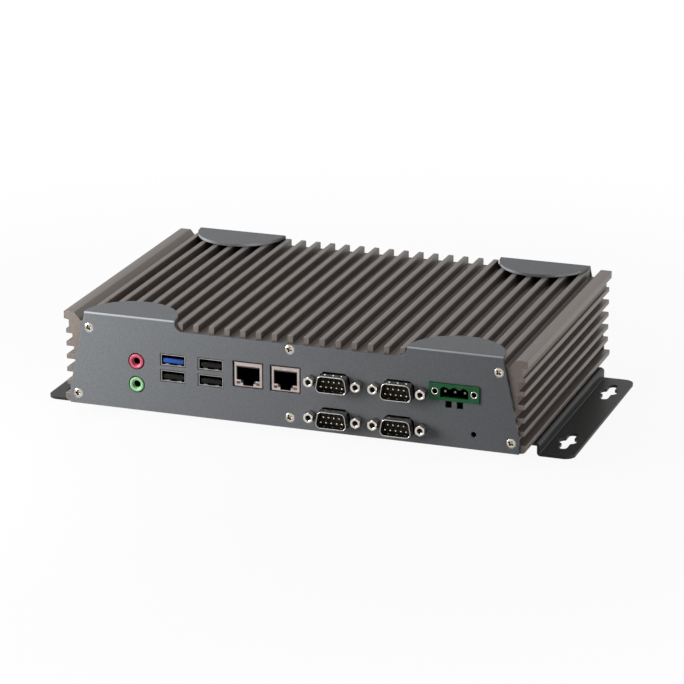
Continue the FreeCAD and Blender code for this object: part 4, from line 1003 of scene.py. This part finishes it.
@dataclass
class Screws:
    """The screws that show: on both end plates, the base plate and under the brackets."""

    half_width: float = 124.0
    top_inset: float = 14.4
    bottom_inset: float = 7.6
    high: float = 41.7
    low: float = 5.5
    turns: tuple[float, ...] = (10.0, 52.0, 24.0, 70.0, 8.0, 38.0)
    base_across: float = 113.0
    base_along: tuple[float, ...] = (-65.5, 65.5)
    bracket_across: float = 114.0
    bracket_along: tuple[float, ...] = (-48.0, 0.0, 48.0)

    def ends(self) -> Shape:
        """Build a front plate's six screws, each turned about Y by its own angle.

        Returns:
            All six as one shape.
        """
        top, bottom = self.half_width - self.top_inset, self.half_width - self.bottom_inset
        rows = ((top, self.high), (bottom, self.low))
        places = at([(way * wide, z) for wide, z in rows for way in (-1, 0, 1)])
        screw, whole = CrossScrew().shape(), Shape()
        for turn, place in zip(self.turns, places):
            c, s = math.cos(math.radians(turn)), math.sin(math.radians(turn))
            whole.joined(screw.turned([(c, 0, -s), (0, 1, 0), (s, 0, c)]).repeated([place]))
        return whole

    def below(self, name: str, node: str, screw: CrossScrew, across: float, along: tuple[float, ...],
              height: float) -> None:
        """Build screws that stand upwards from below, on both sides.

        A point's y becomes its height, and its z its way to the front.

        Args:
            name: The piece's name.
            node: The CAD node that it replaces.
            screw: The screw.
            across: How far from the middle they stand.
            along: Where they stand along Y.
            height: The height of their face.
        """
        upright = screw.shape().turned([(1, 0, 0), (0, 0, -1), (0, 1, 0)])
        places = [(side * across, y, height) for side in (-1, 1) for y in along]
        finish_piece(upright.repeated(places).mesh(name), Finish.NICKEL, "screw_nickel", node)

    def build(self) -> None:
        """Build and dress the screws of all sides. The rear ones are the front ones turned half round."""
        for end, way in (("front", 1), ("rear", -1)):
            piece = self.ends().turned([(way, 0, 0), (0, way, 0), (0, 0, 1)]).mesh(f"{end}_screws")
            finish_piece(piece, Finish.NICKEL, "screw_nickel", f"{end}_plate_screws")
        self.below("base_screws", "base_plate_screws", CrossScrew(length=4.6), self.base_across,
                   self.base_along, STAND)
        pan = CrossScrew(head=3.5, shank=2.0, length=10.2, sink=False, crown=0.9, recess=2.0)
        self.below("bracket_screws_fine", "bracket_screws", pan, self.bracket_across, self.bracket_along,
                   STAND - SHEET - pan.pan)


# ------------------------------------------------------------------ serial ports

@dataclass
class SerialPorts:
    """Four nine-pin serial ports: drawn shells, insulators, pins and jackscrews.

    Profiles are rows of how far out and how deep, as in band and lathe.
    """

    columns: Pair = (24.0, 58.0)
    heights: Pair = (27.0, 8.1)
    width: float = 17.2
    shell_height: float = 8.9
    slope: float = 10.0
    corner: float = 2.5
    wall: float = 0.45
    reach: float = 5.9
    wall_rows: int = 36
    wall_points: int = 220
    dimples: Triple = (-4.4, 0.0, 4.4)
    dimple_y: float = -2.7
    dimple_depth: float = 0.9
    dimple_spread: float = 0.7
    flange: Pair = (30.8, 12.5)
    flange_sheet: float = 0.9
    insert: tuple[Pair, ...] = ((0.0, 2.4), (0.0, -0.35), (-0.25, -0.6), (-0.9, -0.6), (-1.1, -0.45))
    insert_block: Triple = (9.05, 4.9, 10.4)
    collar: tuple[Pair, ...] = ((0.5, -0.45), (0.85, -0.45), (0.85, -0.62), (0.72, -0.74), (0.5, -0.74))
    pin: float = 0.5
    pin_reach: float = 4.4
    pin_pitch: float = 2.77
    row_pitch: float = 2.84
    screw_reach: float = 12.495
    screw_length: float = 5.0
    hex_flat: float = 5.0
    chamfer: Pair = (2.35, 1.1)
    bore: float = 1.4
    groove: float = 0.16
    thread_pitch: float = 0.7
    stud: Pair = (1.5, 7.0)

    def places(self) -> list[Triple]:
        """Return the ports' centres on the front plate."""
        return at([(x, z) for x in self.columns for z in self.heights])

    def outline(self, grow: float = 0.0) -> Outline:
        """Draw the D, wide side down.

        Args:
            grow: How far it is grown from the shell's outside.

        Returns:
            The D as an outline.
        """
        low, base = self.shell_height / 2, self.width / 2
        crown = base - math.tan(math.radians(self.slope)) * 2 * low
        corners = [(-base, -low), (base, -low), (crown, low), (-crown, low)]
        return rounded(corners, self.corner, 12).grown(grow)

    def shells(self) -> None:
        """Build the shells: a profile carried round the D, with three dimples pressed in above and below.

        A dimple moves a point of the outer wall inwards by a bell of its distance from the dimple's middle.
        Behind the plate the profile runs out to a flat flange, whose edge is the D stretched to a rectangle.
        """
        path = evenly(self.outline(), self.wall_points)
        tip, back = self.wall / 2 - self.reach, SHEET + self.flange_sheet
        lip = arc(-self.wall / 2, tip, self.wall / 2, 0, -180, 6)
        depths = np.linspace(SHEET - 0.5, tip + 0.1, self.wall_rows).tolist()
        wall = band(path, [(0.0, SHEET), *((0.0, y) for y in depths), *lip, (-self.wall, back)])
        rows = slice(1, 1 + self.wall_rows)
        inwards = -np.sign(path.points[:, 1]) * (np.abs(path.normals[:, 1]) > 0.9)
        for middle in self.dimples:
            near = (path.points[:, 0] - middle) ** 2 + (wall[rows, :, 1] - self.dimple_y) ** 2
            wall[rows, :, 2] += self.dimple_depth * np.exp(-near / self.dimple_spread) * inwards
        stretch = (np.array(self.flange) / 2 / np.maximum(np.abs(path.points), 1e-6)).min(axis=1)
        edge = Outline(path.points * stretch[:, None], path.normals)
        grid = np.concatenate([wall, swelled(edge, [(1, back), (1, SHEET)])])
        piece = Shape().grid(grid, along=True).repeated(self.places()).mesh("serial_shells", 50)
        finish_piece(piece, Finish.SHELL, "bright_shell", *(f"com_shell_{number}" for number in (1, 2, 3, 4)))

    def insulators(self) -> None:
        """Build the insulators: the D filled to a softly bevelled face, with a collar round each pin."""
        wide, high, far = self.insert_block
        front = self.insert[0][1]
        shape = Shape().tube(band(evenly(self.outline(-self.wall - 0.05), 96), self.insert))
        shape.joined(Shape().tube(band(slab(wide, -high, high, 0.4), [(0, front), (0, far)])))
        shape.joined(Shape().grid(lathe(self.collar, 12), along=True).repeated(self.pin_places()))
        finish_piece(shape.repeated(self.places()).mesh("serial_insulators"), Finish.INSERT_PLASTIC,
                     "black_plastic", "com_inserts")

    def pin_places(self) -> list[Triple]:
        """Return the nine pins of a port: four above and five below."""
        rows = [(step - 1.5, 0.5) for step in range(4)] + [(step - 2, -0.5) for step in range(5)]
        return [(x * self.pin_pitch, 0, z * self.row_pitch) for x, z in rows]

    def pins(self) -> None:
        """Build the pins: a round rod with a domed tip."""
        dome = arc(0.0, -self.pin_reach, self.pin, -90, 0, 4)
        foot = self.insert[-1][1]
        profile = [(0.02, dome[0][1]), *dome[1:], (self.pin, foot), (0.02, foot)]
        shape = Shape().tube(lathe(profile, 14)).repeated(self.pin_places()).repeated(self.places())
        finish_piece(shape.mesh("serial_pins"), Finish.GOLD, "gold_contact", "com_pins")

    def jackscrews(self) -> None:
        """Build the jackscrews: hexagons with a chamfer, a threaded bore and a stud."""
        front = -self.screw_length
        depth = np.array([*np.linspace(front, front + 0.8, 5), 0.0])
        side = hexagon(self.hex_flat, math.pi / 6, depth, *self.chamfer)
        bore = thread(self.bore, self.groove, self.thread_pitch, np.linspace(front + 0.15, -0.4, 34))
        radius, length = self.stud
        rest = lathe([(radius, 0.0), (radius, length)])
        shape = Shape().grid(np.concatenate([bore, lathe([(self.bore + 0.3, front)]), side, rest]))
        shape.cap(bore[0]).cap(rest[-1])
        spots = [(x + way * self.screw_reach, y, z) for x, y, z in self.places() for way in (-1, 1)]
        finish_piece(shape.repeated(spots).mesh("jackscrews", 28), Finish.JACK_NICKEL, "screw_nickel",
                     "com_jackscrews")

    def build(self) -> None:
        """Build all four ports."""
        self.shells()
        self.insulators()
        self.pins()
        self.jackscrews()


# ------------------------------------------------------------------ the other front ports

@dataclass
class UsbPorts:
    """Four USB ports in two stacks: spring tabs in their shells, rounded tongues and contact strips."""

    columns: Pair = (-63.2, -42.6)
    heights: Pair = (28.8, 20.2)
    height: float = 5.1
    recess: float = 0.25
    tongue_width: float = 11.2
    tongue: float = 2.3
    tongue_floor: float = -1.75
    back_half: Pair = (6.2, 2.5)
    back_depths: Pair = (9.5, 17.5)
    corner: float = 0.3
    spring_places: Pair = (-3.1, 3.1)
    spring_half: float = 1.1
    spring_length: float = 6.0
    spring_sheet: float = 0.2
    bow: float = 0.62
    strip_places: tuple[float, ...] = (-3.5, -1.0, 1.0, 3.5)
    strip_half: float = 0.5
    strip_sheet: float = 0.14

    def places(self) -> list[Triple]:
        """Return the four port centres, the upper one of the left stack first."""
        return at([(x, z) for x in self.columns for z in self.heights])

    def strip(self, half: float, deep: Array, top: Array, low: Array) -> Shape:
        """Build a bar along Y whose top and underside have their own height at each depth.

        Args:
            half: Half its width.
            deep: The depths.
            top: The height of its top at each depth.
            low: The height of its underside at each depth.

        Returns:
            The bar as a closed tube.
        """
        edges = [(-half, top), (half, top), (half, low), (-half, low)]
        rows = [np.stack([np.full(len(deep), x), deep, z], axis=1) for x, z in edges]
        return Shape().tube(np.stack(rows, axis=1))

    def springs(self) -> None:
        """Build the bowed spring tabs: thin strips whose height is a half sine of the way along them."""
        along = np.linspace(0, 1, 11)
        bow = self.bow * np.sin(math.pi * along ** 0.8)
        deep = self.recess + 0.7 + along * self.spring_length
        shape = Shape()
        for side in (-1, 1):
            level = side * (self.height / 2 - 0.02 - bow)
            tab = self.strip(self.spring_half, deep, level, level - side * self.spring_sheet)
            shape.joined(tab.repeated([(x, 0, 0) for x in self.spring_places]))
        finish_piece(shape.repeated(self.places()).mesh("usb_springs"), Finish.CAGE, "bright_shell")

    def tongues(self) -> None:
        """Build the tongues and their backs: a rounded bar carried inwards, with a bevelled front edge."""
        low, start = self.tongue_floor, self.recess + 0.45
        bar = slab(self.tongue_width / 2, low, low + self.tongue, self.corner)
        wide, high = self.back_half
        near, far = self.back_depths
        shape = Shape().tube(band(bar, [(-0.3, start), (0, start + 0.4), (0, near + 0.1)]))
        shape.joined(Shape().tube(band(slab(wide, -high, high, self.corner), [(0, near), (0, far)])))
        fast, *plain = self.places()
        finish_piece(shape.repeated([fast]).mesh("fast_tongue"), Finish.BLUE_PLASTIC, "blue_plastic",
                     "usb_fast_tongue")
        finish_piece(shape.repeated(plain).mesh("plain_tongues"), Finish.TONGUE_PLASTIC, "black_plastic",
                     "usb_tongues")

    def contacts(self) -> None:
        """Build four contact strips on each tongue: a bar, bent down a little at its front."""
        deep = self.recess + np.array([1.0, 1.3, 1.9, 7.5])
        top = self.tongue_floor + self.tongue + np.array([-0.2, 0.1, self.strip_sheet, self.strip_sheet])
        strip = self.strip(self.strip_half, deep, top, top - self.strip_sheet - 0.1)
        shape = strip.repeated([(x, 0, 0) for x in self.strip_places]).repeated(self.places())
        finish_piece(shape.mesh("usb_strips", 0), Finish.GOLD, "gold_contact", "usb_contacts")

    def build(self) -> None:
        """Build the parts that are finer than their CAD solids, and dress the rest."""
        self.springs()
        self.tongues()
        self.contacts()
        finish_nodes(Finish.CAGE, "usb_shell_left", "usb_shell_right")


@dataclass
class NetworkPorts:
    """Two network ports in folded shields.

    Attributes:
        openings: Openings on both sides of the middle, each from and to which x, and from and to which z.
    """

    columns: Pair = (-22.3, -2.2)
    height: float = 25.65
    half_width: float = 7.6
    half_height: float = 6.35
    recess: float = 0.25
    depth: float = 20.0
    fold: float = 0.3
    sheet: float = 0.35
    edge: float = 0.07
    openings: tuple[tuple[float, float, float, float], ...] = (
        (0.0, 6.3, -3.0, 4.4), (0.0, 4.0, -4.6, -3.0), (0.0, 2.8, -5.95, -3.0), (4.3, 6.2, -5.2, -3.9))

    def sheet_grid(self) -> tuple[Array, Array]:
        """Lay out the sheet, folded back over the top and both sides.

        The grid's lines run along every edge of the openings. A point's depth is the larger of how far its
        column and its row are folded back, and a quad whose middle lies in an opening is left out.

        Returns:
            The grid of points, and which of its quads are kept.
        """
        wide, high, fold = self.half_width, self.half_height, self.fold
        across = sorted({edge for row in self.openings for edge in row[:2] if edge})
        up = sorted({edge for row in self.openings for edge in row[2:]})
        x = np.array([*across, wide - fold, wide, wide])
        z = np.array([-high, *up, high - fold, high, high])
        back = np.array([fold, self.depth])
        x_fold = np.concatenate([back[::-1], np.zeros(2 * len(x) - 4), back])
        z_fold = np.concatenate([np.zeros(len(z) - 2), back])
        flat = np.stack(np.meshgrid(np.concatenate([-x[::-1], x]), z), axis=2)
        points = deepened(flat, np.maximum(x_fold, z_fold[:, None]))
        middle = (points[:-1, :-1] + points[1:, 1:]) / 2
        far, height = np.abs(middle[..., 0]), middle[..., 2]
        holes = [(far >= near) & (far < end) & (height > low) & (height < top)
                 for near, end, low, top in self.openings]
        return points, ~(np.any(holes, axis=0) & (middle[..., 1] < 0.01))

    def build(self) -> None:
        """Build the shields and dress the inserts, contacts and windows."""
        points, kept = self.sheet_grid()
        shape = Shape().grid(points, around=False, kept=kept)
        for side, column in zip(("left", "right"), self.columns):
            place = np.array(at([(column, self.height)])) + np.array([0, self.recess, 0])
            piece = shape.repeated(place).mesh(f"network_shield_{side}", 0)
            wall = piece.modifiers.new("wall", "SOLIDIFY")
            wall.thickness, wall.offset, wall.use_even_offset = self.sheet * MM, -1.0, True
            edge = piece.modifiers.new("edge", "BEVEL")
            edge.width, edge.segments, edge.limit_method = self.edge * MM, 2, "ANGLE"
            finish_piece(piece, Finish.SHIELD, "bright_shell", f"lan_shield_{side}")
        finish_nodes(Finish.BLACK_PLASTIC, "lan_insert_left", "lan_insert_right")
        finish_nodes(Finish.GOLD, "lan_contacts")
        finish_nodes(Finish.RED_LENS, "lan_speed_lenses")
        finish_nodes(Finish.AMBER_LENS, "lan_link_lenses")


@dataclass
class AudioJacks:
    """Two audio jacks with coloured rings."""

    place: float = -83.3
    heights: Pair = (26.2, 13.8)
    outer: float = 3.9
    bore: float = 1.8
    lip: float = 0.5
    depth: float = 6.4

    def build(self) -> None:
        """Build the rings: a rounded lip turned about each jack, with a funnel into the bore."""
        funnel = [(self.bore + out, y) for out, y in ((0.9, -0.4), (0.55, -0.2), (0.35, 0.5), (0.0, 0.8))]
        profile = [(self.outer, self.depth), (self.outer, 0.1),
                   *arc(self.outer - self.lip, 0.1, self.lip, 0, -90), *funnel, (self.bore, self.depth)]
        ring = Shape().grid(lathe(profile), along=True)
        for colour, node, height, finish in (("pink", "mic_bushing", self.heights[0], Finish.PINK_PLASTIC),
                                             ("lime", "line_bushing", self.heights[1], Finish.LIME_PLASTIC)):
            piece = ring.repeated(at([(self.place, height)])).mesh(f"{colour}_ring")
            finish_piece(piece, finish, f"{colour}_plastic", node)
        finish_nodes(Finish.BLACK_PLASTIC, "audio_housings")


@dataclass
class PowerHeader:
    """The green power header's nuts and pins."""

    place: float = 87.0
    height: float = 28.6
    nut_reach: float = 10.16
    nut_flat: float = 3.9
    nut_depth: float = 3.4
    chamfer: Pair = (1.94, 1.2)
    lip: Triple = (1.63, -0.2, 0.3)
    bore: float = 1.3
    groove: float = 0.14
    thread_pitch: float = 0.6

    def build(self) -> None:
        """Build the flange nuts, hexagons with a half-round lip and a threaded bore, and dress the rest."""
        side = hexagon(self.nut_flat, 0, np.array([-0.18, -0.05, self.nut_depth]), *self.chamfer)
        bore = thread(self.bore, self.groove, self.thread_pitch, np.linspace(-0.1, self.nut_depth, 30))
        lip = lathe(arc(*self.lip, 180, 350, 9))
        shape = Shape().grid(np.concatenate([bore, lip, side]), along=True)
        spots = at([(self.place + way * self.nut_reach, self.height) for way in (-1, 1)])
        finish_piece(shape.repeated(spots).mesh("header_nuts", 28), Finish.JACK_NICKEL, "screw_nickel",
                     "power_header_nuts")
        finish_nodes(Finish.GREEN_PLASTIC, "power_header")
        finish_nodes(Finish.PIN, "power_header_pins")


# ------------------------------------------------------------------ the rear

@dataclass
class PowerButton:
    """The square push button on the rear plate: a framed bezel and a dished cap."""

    place: Pair = (-86.0, 26.0)
    half: float = 8.0
    opening: float = 4.62
    barrel: float = 6.4
    rise: float = 2.2
    back: float = -10.1
    cap_half: float = 4.3
    cap_rise: float = 2.8
    skirt: Triple = (0.9, -1.5, -2.3)
    dish: float = 0.45
    corner: float = 0.16

    def swept(self, rows: list[Pair]) -> Array:
        """Carry a profile of size and depth round a square of half width 1 with rounded corners."""
        return swelled(slab(1, -1, 1, self.corner, 6), rows)

    def finish(self, shape: Shape, part: str, finish: Finish, body: Body) -> None:
        """Put a part of the button in its place and dress it.

        Args:
            shape: Its shape.
            part: Which part it is.
            finish: Its finish.
            body: The body that it rides on.
        """
        piece = shape.repeated(at([self.place], REAR)).mesh(f"button_{part}")
        finish_piece(piece, finish, "button_metal", f"power_button_{part}", body=body)

    def bezel(self) -> None:
        """Build the bezel: a closed profile of frame, chamfers, opening and barrel, round the square."""
        top, back, half, opening = self.rise, self.back, self.half, self.opening
        rows = [(self.barrel, back), (self.barrel, 0.0), (half, 0.0), (half, top - 0.7),
                (half - 0.15, top - 0.25), (half - 0.6, top), (opening + 0.9, top),
                (opening + 0.2, top - 0.35), (opening, top - 0.7), (opening, back)]
        self.finish(Shape().grid(self.swept(rows), along=True), "bezel", Finish.DARK_METAL, Body.HOUSING)

    def cap(self) -> None:
        """Build the cap: straight sides, a rounded edge and a dish as deep as the square of the way in."""
        top, half = self.cap_rise, self.cap_half
        out, near, far = self.skirt
        rows = [(half + out, far), (half + out, near), (half, near), (half, top - 0.4),
                (half - 0.12, top - 0.12), (half - 0.4, top)]
        inward = np.linspace(0.85, 0.05, 9)
        rows += [(share * half, top - self.dish * (1 - (share / 0.9) ** 2)) for share in inward]
        self.finish(Shape().tube(self.swept(rows)), "cap", Finish.CAP_METAL, Body.BUTTON)

    def build(self) -> None:
        """Build the bezel and the cap, and dress what is behind them."""
        self.bezel()
        self.cap()
        finish_nodes(Finish.DARK_METAL, "power_button_nut")
        finish_nodes(Finish.BLACK_PLASTIC, "power_button_switch")


@dataclass
class Indicators:
    """Two round indicator lenses beside the button."""

    place: float = -62.0
    heights: Pair = (22.0, 30.0)
    radius: float = 1.5
    rise: float = 0.2
    dome: float = 0.3
    depth: float = 4.5

    def build(self) -> None:
        """Build the lenses: a rod turned about Y, whose domed face is a quarter of an ellipse."""
        dome = arc(0.0, self.rise, self.radius, 22, 88, 6, self.dome)
        lens = Shape().tube(lathe([(self.radius, -self.depth), (self.radius, self.rise), *dome], 28))
        spots = at([(self.place, height) for height in self.heights], REAR)
        finish_piece(lens.repeated(spots).mesh("indicator_domes"), Finish.CLEAR_LENS, "pale_lens",
                     "indicator_lenses")


# ------------------------------------------------------------------ sheet metal and inside

@dataclass
class Housing:
    """The sheet-metal parts, the display sockets and what is inside.

    Attributes:
        finishes: The CAD nodes that have each finish.
    """

    finishes: dict[Finish, str] = field(default_factory=lambda: {
        Finish.GREY_PAINT: "front_plate rear_plate",
        Finish.BLACK_PAINT: "bracket_left bracket_right",
        Finish.ZINC: "base_plate heat_spreader",
        Finish.NICKEL: "drive_screws spreader_screws board_screws coin_cell",
        Finish.BRASS: "board_standoffs",
        Finish.BOARD: "mainboard serial_board audio_board memory_module",
        Finish.BLACK_PLASTIC: "board_links memory_socket drive_socket battery_holder display_tongues",
        Finish.DARK_METAL: "processor drive",
        Finish.RUBBER: "thermal_pad",
        Finish.FERRITE: "power_inductors",
        Finish.CAGE: "display_shells",
    })

    def build(self) -> None:
        """Dress each CAD node that stays."""
        for finish, nodes in self.finishes.items():
            finish_nodes(finish, *nodes.split())


# ------------------------------------------------------------------ studio

class Backdrop(Graph):
    """The nodes of a surround that lights plainly, but is white where it is seen."""

    def seen(self) -> Socket:
        """Return 1 for rays from the camera, in reflections or through glass, and 0 for light."""
        path = self.add("LightPath")
        return self.largest(path.outputs[f"Is {kind} Ray"] for kind in ("Camera", "Glossy", "Transmission"))

    def shown(self, share: Socket, lit: Node, white: Node, output: str) -> None:
        """Show the white shader by a share, and else the lit one, at an output of the given kind."""
        both = self.add("MixShader", share, lit.outputs[0], white.outputs[0])
        self.add(output, Surface=both.outputs[0])


def aim(thing: bpy.types.Object, place: Vector, ahead: Vector) -> None:
    """Put a camera or lamp in its place, and turn it to look ahead.

    Args:
        thing: The camera or lamp.
        place: Its place in metres.
        ahead: The way it looks.
    """
    thing.location = place
    thing.rotation_mode = "QUATERNION"
    thing.rotation_quaternion = ahead.to_track_quat("-Z", "Y")


@dataclass
class Studio:
    """Camera, floor and soft light.

    Attributes:
        azimuth: The camera's way round from the front, in degrees.
        elevation: Its height, in degrees.
        lens: Focal length for a sensor of the width below.
        sensor: Width of the sensor, in millimetres.
        eye: The camera's place in millimetres.
        middle: What the lamps are aimed at, in metres.
        ambient: Strength of the even light.
        floor_white: How white the floor is beside the object.
        floor_half: Half the floor's width, in metres.
        floor_drop: How far the floor lies below the object, in metres.
        fade: From and to how far from the middle the floor turns white, in metres.
    """

    azimuth: float = 19.256
    elevation: float = 18.24
    lens: float = 171.823
    sensor: float = 36.0
    eye: Triple = (537.87, -1541.35, 565.07)
    middle: Triple = (0, 0, 0.03)
    ambient: float = 0.12
    floor_white: float = 0.93
    floor_half: float = 6.0
    floor_drop: float = 0.0002
    fade: Pair = (0.15, 0.55)

    def camera(self) -> None:
        """Set the camera at its place, looking down its azimuth and elevation."""
        data = bpy.data.cameras.new("camera")
        data.lens, data.sensor_width = self.lens, self.sensor
        data.clip_start, data.clip_end = 0.1, 20.0
        a, e = math.radians(self.azimuth), math.radians(self.elevation)
        camera = link("camera", data)
        aim(camera, Vector(self.eye) * MM,
            Vector((-math.sin(a) * math.cos(e), math.cos(a) * math.cos(e), -math.sin(e))))
        bpy.context.scene.camera = camera

    def world(self) -> None:
        """Light the scene evenly, with white wherever the background is seen."""
        world = bpy.data.worlds.new("studio")
        nodes = Backdrop(world)
        nodes.tree.nodes.clear()
        light = nodes.add("Background", Color=(1.0, 0.99, 0.98), Strength=self.ambient)
        white = nodes.add("Background", Color=WHITE, Strength=1.0)
        nodes.shown(nodes.seen(), light, white, "OutputWorld")
        bpy.context.scene.world = world

    def floor(self) -> None:
        """Lay a pale floor that the object shades softly, and that fades to white further out."""
        half, low = self.floor_half, -self.floor_drop
        data = bpy.data.meshes.new("floor")
        data.from_pydata([(x * half, y * half, low) for x, y in ((-1, -1), (1, -1), (1, 1), (-1, 1))], [],
                         [(0, 1, 2, 3)])
        material = bpy.data.materials.new("pale_floor")
        data.materials.append(material)
        nodes = Backdrop(material)
        nodes.tree.nodes.clear()
        matt = nodes.add("BsdfDiffuse", Color=(0.6, 0.6, 0.6))
        glow = nodes.add("Emission", Color=WHITE, Strength=1.0)
        place = nodes.add("TexCoord").outputs["Object"]
        away = nodes.add("VectorMath", place, operation="LENGTH").outputs["Value"]
        fade = nodes.ranged(away, self.floor_white, 1.0, *self.fade)
        fade.node.interpolation_type = "SMOOTHSTEP"
        share = nodes.add("Math", nodes.seen(), fade, operation="MULTIPLY").outputs[0]
        nodes.shown(share, matt, glow, "OutputMaterial")
        link("floor", data)

    def lamp(self, name: str, place: Triple, size: float, power: float, mirrored: bool = True) -> None:
        """Hang a square area lamp, aimed at the object's middle.

        Args:
            name: The lamp's name.
            place: Its place in metres.
            size: Its width in metres.
            power: Its power in watts.
            mirrored: Whether it shows in reflections.
        """
        data = bpy.data.lights.new(name, "AREA")
        data.shape, data.size, data.energy = "SQUARE", size, power
        lamp = link(name, data)
        lamp.visible_camera, lamp.visible_glossy = False, mirrored
        aim(lamp, Vector(place), Vector(self.middle) - Vector(place))

    def build(self) -> None:
        """Set up the whole studio."""
        bpy.context.scene.view_settings.view_transform = "Standard"
        self.camera()
        self.world()
        self.floor()
        self.lamp("left_softbox", (-0.33, -0.30, 0.14), 0.22, 2.55)
        self.lamp("high_left_softbox", (-0.48, -0.15, 1.1), 0.6, 4.2)
        self.lamp("right_softbox", (0.9, 0.1, 0.16), 0.25, 3.4)
        self.lamp("rear_softbox", (-0.35, 0.85, 0.14), 0.4, 7.0, mirrored=False)


def main() -> None:
    """Build every sub-assembly in order."""
    logging.basicConfig(level=logging.INFO, format="%(name)s: %(message)s")
    Studio().build()
    for assembly in (FinnedCover(), Screws(), SerialPorts(), UsbPorts(), NetworkPorts(), AudioJacks(),
                     PowerHeader(), PowerButton(), Indicators(), Housing()):
        LOG.info("building %s", type(assembly).__name__)
        assembly.build()


if __name__ == "__main__":
    main()
